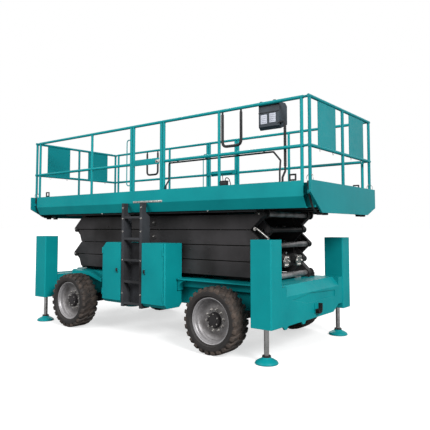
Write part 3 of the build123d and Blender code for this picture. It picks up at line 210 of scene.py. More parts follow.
def painted(name, tone, tone_deep, tone_edge, edge, rough, coat):
    """Sprayed paint: slow drift of tone, orange peel, thin lighter edges that are painted highlight
    and wear, rain marks.
    """
    s = Shader(name)
    streak = s.ramp(s.noise(9.0, 3, 0.5, (1, 1, 0.05)), 0.56, 0.86, 0.0, 0.30)
    body = s.mix(streak, s.coat_of(tone, tone_deep), tone_deep)
    s.set(Base_Color=s.mix(s.worn_and_lit_edges(edge), body, tone_edge),
          Roughness=s.ramp(s.noise(14.0, 4), 0.3, 0.7, rough - 0.05, rough + 0.09),
          Coat_Weight=coat, Coat_Roughness=0.12, Specular_IOR_Level=0.10)
    s.orange_peel(edge)
    return s.material


def rubber():
    """Tyre rubber with dry dust on the tread and in its hollows."""
    s = Shader("tyre_rubber")
    mark = s.node("ShaderNodeAttribute", attribute_name="mark").outputs["Fac"]
    blotch = s.ramp(s.noise(7.0, 6, 0.62), 0.36, 0.66)
    speck = s.ramp(s.noise(60.0, 4), 0.42, 0.70)
    grime = s.math("MULTIPLY", s.math("ADD", s.math("MULTIPLY", blotch, 0.75),
                                      s.math("MULTIPLY", speck, 0.25)),
                   s.ramp(mark, 0.0, 1.0, 0.10, 0.85))
    s.set(Base_Color=s.mix(grime, RUBBER, DUST),
          Roughness=s.ramp(grime, 0.0, 0.8, 0.62, 0.92), Specular_IOR_Level=0.35)
    s.bump(s.noise(150.0, 5), 0.30, 0.0015)
    return s.material


def wheel_steel():
    """Silver wheel paint, bright at the lip, darker, brown and dull further in, from painted shade and
    road grime.
    """
    s = Shader("rim_steel")
    depth = s.node("ShaderNodeAttribute", attribute_name="mark").outputs["Fac"]
    # darker inwards: painted shade in the barrel and dish, with patches of road dirt
    shade_and_dirt = s.math("MULTIPLY", s.ramp(depth, 0.0, 1.0, 0.12, 1.0),
                  s.ramp(s.noise(5.0, 6, 0.6), 0.25, 0.62, 0.45, 1.0))
    spots = s.ramp(s.noise(38.0, 5, 0.6), 0.52, 0.74, 0.0, 0.55)
    s.set(Base_Color=s.mix(spots, s.mix(shade_and_dirt, SILVER, SILVER_DARK), MUD), Metallic=0.35,
          Roughness=s.ramp(shade_and_dirt, 0.0, 1.0, 0.34, 0.62))
    s.bump(s.noise(90.0, 5), 0.10, 0.0008)
    return s.material


def metal(name, tone, tone_deep, rough, metallic, scale, bump):
    """Bare or galvanised metal with fine marks."""
    s = Shader(name)
    marks = s.ramp(s.noise(scale, 6, 0.6), 0.35, 0.7)
    s.set(Base_Color=s.mix(marks, tone, tone_deep), Metallic=metallic,
          Roughness=s.ramp(s.noise(scale * 0.6, 5), 0.3, 0.7, rough - 0.05, rough + 0.12))
    s.bump(s.noise(scale * 9, 3), bump, 0.0008, soft_edge=0.002)
    return s.material


def hook_paint():
    """Body colour on the base plates of the hooks, and black on the hooks themselves."""
    s = Shader("hook_paint")
    low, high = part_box("chassis_frame")
    x = s.axis(s.place, "X")
    hook = s.math("MAXIMUM", s.math("GREATER_THAN", x, high[0] + HOOK_BASE),
                  s.math("LESS_THAN", x, low[0] - HOOK_BASE))
    black = s.mix(s.ramp(s.noise(30.0, 4), 0.45, 0.75), RUBBER, ARM_BLACK)
    s.set(Base_Color=s.mix(hook, s.coat_of(TEAL, TEAL_DEEP), black),
          Roughness=s.ramp(hook, 0.0, 1.0, 0.40, 0.55), Specular_IOR_Level=0.10)
    s.orange_peel(0.003)
    return s.material


def grip_deck(name, tone, tone_deep):
    """Body paint, with a gritty anti-slip coat wherever a surface faces up as a floor."""
    s = Shader(name)
    facing_up = s.axis(s.node("ShaderNodeNewGeometry").outputs["True Normal"], "Z")
    floor = s.math("MULTIPLY", s.math("GREATER_THAN", facing_up, FLOOR_UPRIGHT),
                   s.math("LESS_THAN", s.axis(s.place, "Z"), FLOOR_BELOW))
    # lighter edges: painted highlight and wear
    paint = s.mix(s.worn_and_lit_edges(0.005), s.coat_of(tone, tone_deep), TEAL_WORN_AND_LIT)
    scuffs = s.ramp(s.noise(1.6, 7, 0.66, (1, 1.8, 1)), 0.35, 0.80, 0.0, 0.45)
    grit = s.ramp(s.noise(900.0, 2), 0.40, 0.60, 0.0, 0.25)
    coat = s.mix(grit, s.mix(scuffs, GRIP_COAT, TEAL_END_DEEP), TEAL_WORN_AND_LIT)
    s.set(Base_Color=s.mix(floor, paint, coat), Roughness=s.ramp(floor, 0.0, 1.0, 0.40, 0.78),
          Specular_IOR_Level=0.10)
    s.bump(s.math("MULTIPLY", s.noise(260.0, 3), s.ramp(floor, 0.0, 1.0, 0.12, 1.0)),
           0.55, 0.0020, soft_edge=0.005)
    return s.material


def plastic(name, tone, rough):
    """Moulded plastic with a fine leather grain."""
    s = Shader(name)
    grain = s.noise(340.0, 2)
    paler = tuple(min(1.0, c * 1.6 + 0.004) for c in tone[:3]) + (1,)
    s.set(Base_Color=s.mix(s.ramp(s.noise(6.0, 4), 0.3, 0.7), tone, paler),
          Roughness=s.ramp(grain, 0.3, 0.7, rough - 0.06, rough + 0.06),
          Specular_IOR_Level=0.16)
    s.bump(grain, 0.18, 0.0006, soft_edge=0.003)
    return s.material


# tone, deep tone, tone of the lighter edges (painted highlight and wear), their width, roughness,
# clear coat
PAINTS = {
    "teal_paint": (TEAL, TEAL_DEEP, TEAL_WORN_AND_LIT, 0.005, 0.38, 0.02),
    # the extensions' rails take a darker teal, which is painted shade
    "end_rails": (TEAL_END_SHADED, TEAL_END_DEEP, TEAL_WORN_AND_LIT, 0.005, 0.38, 0.02),
    "arm_paint": (ARM_BLACK, RUBBER, ARM_WORN_AND_LIT, 0.005, 0.42, 0.05),
    "ladder_paint": (LADDER_BLACK, RUBBER, ARM_WORN_AND_LIT, 0.003, 0.42, 0.05),
    "barrel_paint": (CAST, ARM_BLACK, SILVER_DARK, 0.004, 0.40, 0.10),
    "axle_paint": (ARM_BLACK, RUBBER, ARM_WORN_AND_LIT, 0.004, 0.55, 0.0),
    "black_steel": (ARM_BLACK, RUBBER, ARM_WORN_AND_LIT, 0.004, 0.45, 0.02),
}
# tone, deep tone, roughness, metallic, fineness of the marks, their relief
METALS = {
    "chrome": (CHROME, ZINC, 0.14, 1.0, 30.0, 0.03),
    "cast_metal": (CAST, RUBBER, 0.62, 0.4, 25.0, 0.35),
    "zinc_plated": (ZINC, SILVER_DARK, 0.34, 0.9, 60.0, 0.05),
    "grey_tube": (GREY_PAINT, SILVER_DARK, 0.38, 0.5, 8.0, 0.05),
}
# tone, roughness
PLASTICS = {"black_plastic": (PLASTIC, 0.45), "hose": (HOSE_BLACK, 0.50),
            "pale_panel": (PANEL_GREY, 0.42), "box_blue": (BOX_BLUE, 0.40)}
# the extensions' decks take a darker teal, which is painted shade
FINISHES = {"rim_steel": wheel_steel(), "tyre": rubber(), "hook_paint": hook_paint(),
            "grip_deck": grip_deck("grip_deck", TEAL, TEAL_DEEP),
            "end_deck_shaded": grip_deck("end_deck_shaded", TEAL_END_SHADED, TEAL_END_DEEP)}
for make, table in ((painted, PAINTS), (metal, METALS), (plastic, PLASTICS)):
    for name, row in table.items():
        FINISHES[name] = make(name, *row)

# nodes whose finish differs from their slot's
OWN_FINISH = {"underframe": "black_steel", "arm_seats": "black_steel", "main_deck": "grip_deck",
              "extension_deck_front": "end_deck_shaded", "extension_deck_rear": "end_deck_shaded",
              "extension_rails_front": "end_rails", "extension_rails_rear": "end_rails",
              "tow_and_tie_points": "hook_paint", "control_box": "box_blue"}
SLOT_OF = {part["node"]: part["material_slot"] for part in frame["record"]["subparts"]}
for name, node in frame["nodes"].items():
    node.data.materials.clear()
    node.data.materials.append(FINISHES[OWN_FINISH.get(name, SLOT_OF[name])])

# ---------------- mesh in code
BOX_BEVEL_SHAPE = 0.6  # roundness of a box's cut edges
ARC_STEPS = 5  # steps in each bend of a line
ON_AXIS = 1e-7  # a profile's radius under which its point is on the axis
HEX_CORNER = 0.5774  # a hexagon's corner radius over its width across flats
UP = (0, 0, 1)


class Shape:
    """Collects the points and faces of one piece, with a mark from 0 to 1 per point."""

    def __init__(self):
        self.points, self.faces, self.marks = [], [], []

    def add(self, points, faces, place=None, mark=0.0):
        """Faces over new points, moved by the matrix place; mark is a number or a function."""
        start = len(self.points)
        for x, y, z in points:
            point = Vector((x, y, z))
            self.marks.append(mark(point) if callable(mark) else mark)
            self.points.append(place @ point if place else point)
        flip = place is not None and place.determinant() < 0
        for face in faces:
            face = [start + i for i in face]
            self.faces.append(face[::-1] if flip else face)

    def box(self, low, high, edge, place=None):
        """A box with cut edges between two opposite corners."""
        middle = [(a + b) / 2 for a, b in zip(low, high)]
        half = [abs(b - a) / 2 for a, b in zip(low, high)]
        edge = min([edge] + [h * 0.45 for h in half])
        solid = bmesh.new()
        bmesh.ops.create_cube(solid, size=2.0)
        for vert in solid.verts:
            vert.co = Vector([m + h * c for m, h, c in zip(middle, half, vert.co)])
        bmesh.ops.bevel(solid, geom=solid.edges[:], offset=edge, segments=2, affect="EDGES",
                        profile=BOX_BEVEL_SHAPE)
        solid.verts.index_update()
        self.add([v.co[:] for v in solid.verts], [[v.index for v in f.verts] for f in solid.faces],
                 place)
        solid.free()

    def turn(self, profile, place, count, mark=0.0):
        """A solid of revolution about local Z from (radius, height) points, open or closed."""
        closed = profile[0] == profile[-1]
        rows = list(profile[:-1] if closed else profile)
        if not closed:  # flat ends
            rows = ([(0, rows[0][1])] if rows[0][0] > 0 else []) + rows
            rows += [(0, rows[-1][1])] if rows[-1][0] > 0 else []
        area = sum(a[0] * b[1] - b[0] * a[1] for a, b in zip(rows, rows[1:] + rows[:1]))
        rows = rows if area > 0 else rows[::-1]  # so that its faces look outwards
        points, index = [], []
        for r, h in rows:
            if r < ON_AXIS:
                index.append([len(points)] * count)
                points.append((0.0, 0.0, h))
            else:
                index.append(list(range(len(points), len(points) + count)))
                points += [(r * cos(2 * pi * i / count), r * sin(2 * pi * i / count), h)
                           for i in range(count)]
        faces = []
        for a, b in zip(index, index[1:] + (index[:1] if closed else [])):
            for i in range(count):
                j = (i + 1) % count
                face = list(dict.fromkeys((a[i], a[j], b[j], b[i])))
                if len(face) > 2:
                    faces.append(face)
        self.add(points, faces, place, mark)

    def rod(self, start, end, radius, count, edge=0.0015):
        """A round bar with cut ends."""
        way = Vector(end) - Vector(start)
        edge = min(edge, radius * 0.4, way.length * 0.4)
        self.turn([(0, 0), (radius - edge, 0), (radius, edge), (radius, way.length - edge),
                   (radius - edge, way.length), (0, way.length)], pointing(start, way), count)

    def bolt(self, place, out, size):
        """A hexagon head on a washer; size is across the flats."""
        base = Vector(place)
        out = Vector(out).normalized()
        top = base + out * size * 0.14
        corner = size * HEX_CORNER
        self.rod(base, top, size * 0.85, 20, 0.0005)
        self.turn([(0, 0), (corner, 0), (corner, size * 0.5), (corner * 0.86, size * 0.6),
                   (0, size * 0.6)], pointing(top, out), 6)

    def tube(self, points, radius, count=12):
        """A round tube along points, with flat ends."""
        line = [Vector(point) for point in points]
        side = None
        rings = []
        for i, point in enumerate(line):
            ahead = (line[min(i + 1, len(line) - 1)] - line[max(i - 1, 0)]).normalized()
            if side is None:
                side = ahead.orthogonal().normalized()
            side = (side - ahead * side.dot(ahead)).normalized()
            other = ahead.cross(side)
            rings.append([point + side * radius * cos(2 * pi * k / count)
                          + other * radius * sin(2 * pi * k / count) for k in range(count)])
        flat = [point for ring in rings for point in ring]
        faces = [[i * count + k, i * count + (k + 1) % count,
                  (i + 1) * count + (k + 1) % count, (i + 1) * count + k]
                 for i in range(len(rings) - 1) for k in range(count)]
        last = (len(rings) - 1) * count
        faces += [list(range(count))[::-1], [last + k for k in range(count)]]
        self.add(flat, faces)


def pointing(place, way):
    """A matrix that puts local Z at a place, looking along a way."""
    turn = Vector(way).to_track_quat("Z", "Y").to_matrix().to_4x4()
    return Matrix.Translation(Vector(place)) @ turn


def rounded(points, bend):
    """A line of points with each corner turned into an arc."""
    line = [Vector(point) for point in points]
    out = [line[0]]
    for before, corner, after in zip(line, line[1:], line[2:]):
        a, b = before - corner, after - corner
        reach = min(bend, a.length * 0.49, b.length * 0.49)
        a, b = corner + a.normalized() * reach, corner + b.normalized() * reach
        for t in [i / ARC_STEPS for i in range(ARC_STEPS + 1)]:
            out.append((1 - t) ** 2 * a + 2 * t * (1 - t) * corner + t * t * b)
    return out + [line[-1]]


def moved(shape, place):
    """A copy of a shape, moved by a matrix."""
    made = Shape()
    made.add([p[:] for p in shape.points], shape.faces, place)
    made.marks = list(shape.marks)
    return made


def full_turn(steps):
    """Angles from 0 round to a full turn, both included."""
    return [2 * pi * i / steps for i in range(steps + 1)]


def clamped(value):
    """The value, kept from 0 to 1."""
    return max(0.0, min(1.0, value))


def piece(name, shape, finish, body, sharp=32.0):
    """One object from a shape, that rides on a body and has a finish."""
    mesh = bpy.data.meshes.new(name)
    mesh.from_pydata([point[:] for point in shape.points], [], shape.faces)
    marks = mesh.attributes.new("mark", "FLOAT", "POINT")
    marks.data.foreach_set("value", shape.marks)
    mesh.polygons.foreach_set("use_smooth", [True] * len(mesh.polygons))
    mesh.set_sharp_from_angle(angle=radians(sharp))
    mesh.materials.append(FINISHES[finish])
    made = bpy.data.objects.new(name, mesh)
    bpy.context.scene.collection.objects.link(made)
    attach(made, body)
    return made


# ---------------- wheels
LUGS = 26  # on either half of the tread
LUG_H = 0.021
TYRE_R = 0.419
TYRE_HALF = 0.145  # half of the tyre's width
SHOULDER_R = 0.368  # where the sidewall's dust begins, and over how much it builds up
SHOULDER_FADE = 0.020
WORN_TOP = 0.0055  # depth of the lugs' cleaner tops
RIM_R = 0.2915
RIM_HALF = 0.1165
LIP_CLEAN_AND_LIT = 0.012  # bright ring at the rim's lip, and the width over which painted shade and dirt start
LIP_FADE = 0.045
HUB_FACE = 0.060  # how far the hub stands out from the wheel's middle plane
WHEEL_NUTS = 10
NUT_CIRCLE_R = 0.134
CAP_SCREWS = 6
SCREW_CIRCLE_R = 0.075


def tyre_shape():
    """A tyre about local Z: rounded carcass, rings on its sidewalls, slanted lugs."""
    shape = Shape()
    carcass = TYRE_R - LUG_H
    # each row: radius, distance in from the tyre's side face
    rows = [(0.2925, 0.024), (0.300, 0.010), (0.312, 0.004), (0.3135, 0.0015), (0.3175, 0.0015),
            (0.319, 0.003), (0.336, 0.0005), (0.352, 0), (0.362, 0.001), (0.3645, 0.0045),
            (0.375, 0.008), (0.386, 0.016), (carcass - 0.004, 0.030), (carcass, 0.048),
            (carcass + 0.002, TYRE_HALF - 0.03)]
    side = [(r, TYRE_HALF - depth) for r, depth in rows]
    profile = [(r, -h) for r, h in side] + side[::-1]
    profile.append(profile[0])
    shape.turn(profile, Matrix(), 96,
               mark=lambda p: clamped((hypot(p.x, p.y) - SHOULDER_R) / SHOULDER_FADE))
    for s in (-1, 1):
        for i in range(LUGS):
            tread_lug(shape, s, 2 * pi * (i + (0.5 if s > 0 else 0)) / LUGS)
    return shape


def tread_lug(shape, s, turn):
    """One lug as a swept bar: from the tread's middle, over the shoulder, down the side."""
    half = TYRE_HALF
    # each row: y, depth of the top and of the foot below the tyre's radius, half width, turn back
    rows = [(-0.004, 0.0025, 0.023, 0.016, 0.000), (0.004, 0.0012, 0.023, 0.021, 0.004),
            (0.035, 0.0010, 0.023, 0.021, 0.020), (0.075, 0.0012, 0.023, 0.022, 0.043),
            (half - 0.034, 0.0025, 0.027, 0.024, 0.061), (half - 0.014, 0.0065, 0.035, 0.026, 0.070),
            (half - 0.0035, 0.0160, 0.045, 0.026, 0.074),
            (half - 0.0010, 0.0310, 0.053, 0.023, 0.075),
            (half - 0.0025, 0.0450, 0.057, 0.017, 0.075)]
    points = []
    for y, top, foot, wide, back in rows:
        edge = [(TYRE_R - foot, wide + 0.005), (TYRE_R - top - 0.004, wide),
                (TYRE_R - top, wide - 0.004)]
        points += [(r, -w - back, y) for r, w in edge]
        points += [(r, w - back, y) for r, w in edge[::-1]]
    placed = [(r * cos(turn + s * t / TYRE_R), r * sin(turn + s * t / TYRE_R), s * y)
              for r, t, y in points]
    around = len(points) // len(rows)  # points round the bar
    faces = []
    for i in range(len(rows) - 1):
        for k in range(around - 1):
            a, b = i * around + k, (i + 1) * around + k
            faces.append([a, a + 1, b + 1, b])
    last = (len(rows) - 1) * around
    faces += [list(range(around))[::-1], [last + k for k in range(around)]]
    faces += [[i * around, (i + 1) * around, (i + 2) * around - 1, (i + 1) * around - 1]
              for i in range(len(rows) - 1)]
    shape.add(placed, faces,
              mark=lambda p: 0.55 if hypot(p.x, p.y) > TYRE_R - WORN_TOP else 1.0)


def rim_shape():
    """A dished rim about local Z, which points outwards: rolled lips, barrel and disc."""
    lip = [(RIM_R - 0.016, RIM_HALF - 0.010), (RIM_R - 0.0135, RIM_HALF - 0.002),
           (RIM_R - 0.009, RIM_HALF), (RIM_R - 0.003, RIM_HALF - 0.001), (RIM_R, RIM_HALF - 0.007),
           (RIM_R - 0.001, RIM_HALF - 0.016)]
    inside = [(RIM_R - 0.024, -0.060), (RIM_R - 0.040, -0.020), (0.226, -0.013), (0.180, -0.016),
              (0.118, -0.011), (0.1000, -0.010), (0.1000, 0.010), (0.118, 0.011), (0.150, 0.010),
              (0.168, 0.006), (0.182, -0.002), (0.196, -0.0045), (0.224, -0.001), (0.243, 0.012),
              (RIM_R - 0.040, 0.030), (RIM_R - 0.031, 0.040), (RIM_R - 0.027, 0.078),
              (RIM_R - 0.021, 0.086)]
    profile = lip + [(r, -h) for r, h in lip[::-1]] + inside + lip[:1]
    shape = Shape()
    # the mark runs from 0 at the lip to 1 further in, where painted shade and dirt darken the rim
    shape.turn(profile, Matrix(), 96,
               mark=lambda p: clamped((RIM_R - LIP_CLEAN_AND_LIT - hypot(p.x, p.y)) / LIP_FADE))
    return shape


def hub_shapes():
    """The hub, its cap, and the wheel nuts and cap screws, about local Z."""
    hub, cap, nuts = Shape(), Shape(), Shape()
    hub.turn([(0.040, -HUB_FACE), (0.092, -HUB_FACE), (0.099, -0.052), (0.099, 0.016),
              (0.094, 0.020), (0.090, 0.052), (0.086, HUB_FACE), (0.064, HUB_FACE + 0.0025),
              (0.062, HUB_FACE), (0.040, HUB_FACE), (0.040, -HUB_FACE)], Matrix(), 64)
    cap.turn([(0.0385, 0.058), (0.0600, 0.058), (0.0600, 0.0655), (0.0570, 0.0690),
              (0.020, 0.0735), (0.0, 0.0740)], Matrix(), 48)
    for i in range(WHEEL_NUTS):
        turn = 2 * pi * i / WHEEL_NUTS
        x, y = NUT_CIRCLE_R * cos(turn), NUT_CIRCLE_R * sin(turn)
        nuts.bolt((x, y, 0.0105), UP, 0.026)
        nuts.rod((x, y, 0.020), (x, y, 0.040), 0.0085, 12)
    for i in range(CAP_SCREWS):
        turn = 2 * pi * (i + 0.5) / CAP_SCREWS
        nuts.bolt((SCREW_CIRCLE_R * cos(turn), SCREW_CIRCLE_R * sin(turn), HUB_FACE + 0.001), UP,
                  0.012)
    return hub, cap, nuts


def wheels():
    """Tyre, rim, hub, cap and nuts on each wheel's body."""
    tyre, rim = tyre_shape(), rim_shape()
    hub, cap, nuts = hub_shapes()
    for end, e in ENDS:
        for hand, s in HANDS:
            tail = f"{end}_{hand}"
            low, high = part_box("rim_" + tail)
            centre = (low + high) / 2
            turn = 0.21 + 0.9 * (e + 1) + 0.4 * (s + 1)  # no two wheels stand alike
            place = pointing(centre, (0, s, 0)) @ Matrix.Rotation(turn, 4, "Z")
            body = "wheel_" + tail
            for part, shape, finish, sharp in (("tyre", tyre, "tyre", 38),
                                               ("rim", rim, "rim_steel", 30)):
                made = piece(f"{part}_dressed_{tail}", moved(shape, place), finish, body,
                             sharp=sharp)
                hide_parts(f"{part}_{tail}")
            for part, shape, finish in (("hub", hub, "axle_paint"), ("hub_cap", cap, "axle_paint"),
                                        ("wheel_nuts", nuts, "zinc_plated")):
                piece(f"{part}_{tail}", moved(shape, place), finish, body)


# ---------------- arm stack
LEVELS = 4
PIN_X = 1.885  # pin lines at both ends of the stowed stack
LOWEST_PIN_Z = 0.925
PITCH = 0.20625  # from one pin line up to the next
OUTER_FACE = 0.660  # outer faces of the outer arms
INNER_FACE = 0.400  # inner faces of the inner arms
THICK_EYE = 0.026  # how far the lowest and highest eyes stand out beyond the others
MIDDLE_CAP_R = 0.030
TIP_CAP_R = 0.024
OUTER_BOLT_X = (-1.05, -0.72, 0.72, 1.05)
INNER_BOLT_X = (-0.34, 0.34)
TUBE_R = 0.0385  # grey cross tubes: radius, bore and half length
TUBE_BORE_R = 0.0362
TUBE_HALF = 0.550
PROP_R = 0.011  # bars of the folded prop
HOSE_R = 0.009
HOSE_PITCH = 0.021
HOSE_POINTS = 28
HOSE_REACH = 1.62  # how far the hoses run either way from the stack's middle
HOSE_IN = 0.011  # middle of a hose, inwards from the inner arm's face
CLIP_X = (-1.35, -0.75, -0.15, 0.45, 1.05, 1.5)
CYLINDER_Y = 0.170
BARREL_EYE_R = 0.084
CAP_BOLTS = 6


def layer(i):
    """The height of the pin line i levels up."""
    return LOWEST_PIN_Z + i * PITCH


def joint_where(key, value):
    """The record's joint that has this value."""
    return next(joint for joint in JOINTS if joint[key] == value)


def arm_fittings():
    """Pins and bolts of each level, grey cross tubes, hoses, and the folded prop."""
    for k in range(1, LEVELS + 1):
        level_pins(k)
    for k, i in ((1, 0), (2, 2), (4, 4)):
        tube = Shape()
        long = 2 * TUBE_HALF
        tube.turn([(TUBE_R - 0.001, 0), (TUBE_R, 0.002), (TUBE_R, long - 0.002),
                   (TUBE_R - 0.001, long), (TUBE_BORE_R, long), (TUBE_BORE_R, 0),
                   (TUBE_R - 0.001, 0)],
                  pointing((PIN_X, -TUBE_HALF, layer(i)), (0, 1, 0)), 40)
        piece(f"cross_tube_{i}", tube, "grey_tube", f"outer_{k}")
    stack_hoses()
    folded_prop()


def level_pins(k):
    """Caps of one level's middle and tip pins, and the bolts along its arms."""
    outer, inner, pins = Shape(), Shape(), Shape()
    middle = (layer(k - 1) + layer(k)) / 2
    rise = -1 if k % 2 else 1  # towards which end the outer arms rise
    tips = [(rise * PIN_X, layer(k))]  # a pin that two levels share rides the lower one
    if k == 1:
        tips.append((-rise * PIN_X, layer(0)))
    for s in (-1, 1):
        pin_cap(outer, pins, (0, s * OUTER_FACE, middle), s, MIDDLE_CAP_R)
        for x in OUTER_BOLT_X:
            outer.bolt((x, s * OUTER_FACE, middle + rise * x / PIN_X * PITCH / 2), (0, s, 0), 0.012)
        for x, z in tips:
            out = OUTER_FACE + (THICK_EYE if z in (layer(0), layer(LEVELS)) else 0)
            pin_cap(outer, pins, (x, s * out, z), s, TIP_CAP_R)
        for x in INNER_BOLT_X:
            inner.bolt((x, s * (INNER_FACE - 0.0005), middle), (0, -s, 0), 0.020)
    piece(f"pin_plates_{k}", outer, "black_steel", f"outer_{k}")
    piece(f"outer_pins_{k}", pins, "zinc_plated", f"outer_{k}")
    piece(f"inner_bolts_{k}", inner, "zinc_plated", f"inner_{k}")


def pin_cap(shape, pins, place, s, radius):
    """A pin's black end cap, with the bright bolt that holds it."""
    x, y, z = place
    shape.turn([(0, -0.002), (radius + 0.010, -0.002), (radius + 0.010, 0.004),
                (radius, 0.005), (radius - 0.001, 0.010), (radius - 0.006, 0.012), (0, 0.012)],
               pointing(place, (0, s, 0)), 32)
    pins.bolt((x, y + s * 0.0115, z), (0, s, 0), radius * 0.62)


def folded_prop():
    """The prop's three bars, folded against the right-hand outer arms at the steered end."""
    prop = Shape()
    y = -(OUTER_FACE + 0.009)
    top = layer(3) + 0.012
    knee = (2.010, y, 1.437)
    for start, end in (((1.800, y, top), (1.846, y, top)), ((1.840, y, top + 0.002), knee),
                       (knee, (1.906, y, layer(2) + 0.010))):
        prop.rod(start, end, PROP_R, 16)
    prop.bolt((1.812, y - 0.009, top), (0, -1, 0), 0.028)
    piece("prop_rods", prop, "zinc_plated", "outer_3")


def stack_hoses():
    """Hydraulic hoses along the inner arms, held by clips, ending in steel unions."""
    line = [HOSE_REACH * (2 * i / (HOSE_POINTS - 1) - 1) for i in range(HOSE_POINTS)]
    for k in (2, 3, 4):
        hoses, clips = Shape(), Shape()
        for s in (-1, 1):
            y = s * (INNER_FACE - HOSE_IN)
            for rise in (0, HOSE_PITCH, 2 * HOSE_PITCH):
                z = layer(k - 1) + 0.0035 + rise
                hoses.tube([(x, y, z + 0.0012 * cos(x * 9.0 + 40 * rise)) for x in line], HOSE_R)
                for e in (-1, 1):
                    clips.rod((e * (HOSE_REACH - 0.03), y, z), (e * (HOSE_REACH + 0.022), y, z),
                              HOSE_R + 0.0015, 6)
            for x in CLIP_X:
                clips.box((x - 0.012, y - s * 0.0105, layer(k - 1) - 0.0065),
                          (x + 0.012, s * INNER_FACE, layer(k - 1) + 0.0585), 0.001)
        piece(f"stack_hoses_{k}", hoses, "hose", f"inner_{k}")
        piece(f"hose_clips_{k}", clips, "zinc_plated", f"inner_{k}")


def cylinder_fittings():
    """Bolted end caps, ports and a clamped steel pipe on both lift cylinders."""
    along = Vector(joint_where("name", "rod_slide")["axis"])
    side = Vector((0, 1, 0))
    up = along.cross(side)
    top = up if up.z > 0 else -up
    caps, pipes = Shape(), Shape()
    for s in (-1, 1):
        eye = Vector((PIN_X, s * CYLINDER_Y, layer(1)))
        face = eye - along * BARREL_EYE_R
        caps.turn([(0, -0.010), (0.062, -0.010), (0.070, -0.004), (0.070, 0.012), (0.064, 0.016),
                   (0, 0.016)], pointing(face, -along), 40)
        for i in range(CAP_BOLTS):
            turn = 2 * pi * i / CAP_BOLTS
            spot = face - along * 0.006 + (side * cos(turn) + up * sin(turn)) * 0.060
            caps.bolt(spot, -along, 0.030)
        port = eye + along * 0.13 + top * 0.078
        caps.box((-0.022, -0.022, -0.02), (0.022, 0.022, 0.012), 0.003, Matrix.Translation(port))
        pipes.tube(rounded([port, port + along * 0.05 + top * 0.012,
                            port + along * 0.9 + top * 0.004,
                            port + along * 0.95 - top * 0.012], 0.03), 0.007)
        for far in (0.25, 0.60):
            clamp = port + along * far
            caps.rod(clamp + top * 0.008, clamp - top * 0.02, 0.012, 12)
    piece("cylinder_caps", caps, "zinc_plated", "barrels")
    piece("cylinder_pipes", pipes, "zinc_plated", "barrels")


# ---------------- platform
RAIL_Y = 0.915
RAIL_R = 0.021
CABLE_X = 2.372
CABLE_R = 0.013
GRIP_X = (1.475, 1.765)  # hand grips: their two uprights
GRIP_TOP = 3.030
GRIP_BOTTOM = 2.610
GRIP_BEND = 0.070
SLEEVE_R = 0.0185
ANCHOR_X = ((2.460, 2.550), (-2.370, -2.280))  # the anchor rings' two sides
ANCHOR_Y = 0.944
ANCHOR_HALF = 0.007  # half of the rings' bar
STRIP_X = (-0.150, 0.440)  # sill under the gate, and its studs
STUDS = 12
SKIRT_BOLT_X = (-0.92, 1.21)
HIGHLIGHT_STRIP_X = (1.780, 2.600)  # bright zinc strips on the toe boards' tops: a painted highlight along their edge
SEAL_HALF = 1.930  # black strips under the skirts: half length, and their two sides
SEAL_Y = (0.8150, 0.8350)
GATE_PLATE_X = (-0.160, 0.360)
PAD_Y = (0.52, 0.66)
PANEL_RING_Y = (-0.64, -0.28, 0.28, 0.64)
PANEL_RING_Z = (2.488, 3.080)
PIN_RING_Z = 2.134


def platform_details():
    """The control box's face, sills, sleeves, socket box, end details and gate latches."""
    control_box()
    low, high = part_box("main_deck")
    skirt, bottom, toe_top = high[1], low[2], high[2]
    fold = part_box("ladder_right")[1][2]  # the ladders end under the skirts' fold
    strip, black, zinc, sleeves = Shape(), Shape(), Shape(), Shape()
    for s in (-1, 1):
        grip_sleeves(sleeves, s, toe_top)
        strip.box((STRIP_X[0], s * (skirt + 0.0002), fold + 0.002),
                  (STRIP_X[1], s * (skirt + 0.0032), fold + 0.030), 0.001)
        for i in range(STUDS):
            x = STRIP_X[0] + 0.025 + 0.049 * i
            strip.rod((x, s * (skirt + 0.002), fold + 0.016), (x, s * (skirt + 0.0048), fold + 0.016),
                      0.006, 10, 0.0006)
        for x in SKIRT_BOLT_X:
            zinc.bolt((x, s * 0.892, bottom - 0.0005), (0, 0, -1), 0.018)
        # a bright strip along the toe board's top: painted highlight
        strip.box((HIGHLIGHT_STRIP_X[0], s * (skirt - 0.0115), toe_top - 0.0005),
                  (HIGHLIGHT_STRIP_X[1], s * (skirt + 0.0010), toe_top + 0.0015), 0.0004)
        black.box((-SEAL_HALF, s * SEAL_Y[0], bottom - 0.030),
                  (SEAL_HALF, s * SEAL_Y[1], bottom + 0.0012), 0.002)
    piece("gate_step_and_highlight_strips", strip, "zinc_plated", "platform")
    piece("skirt_bolts", zinc, "zinc_plated", "platform")
    cable_sheath(sleeves)
    piece("rubber_sleeves", sleeves, "hose", "platform")
    socket_box(black, toe_top)
    piece("socket_box", black, "black_plastic", "platform")
    for end, e in ENDS:
        extension_details(end, e)
    for hand, s in HANDS:
        gate_latch(hand, s)


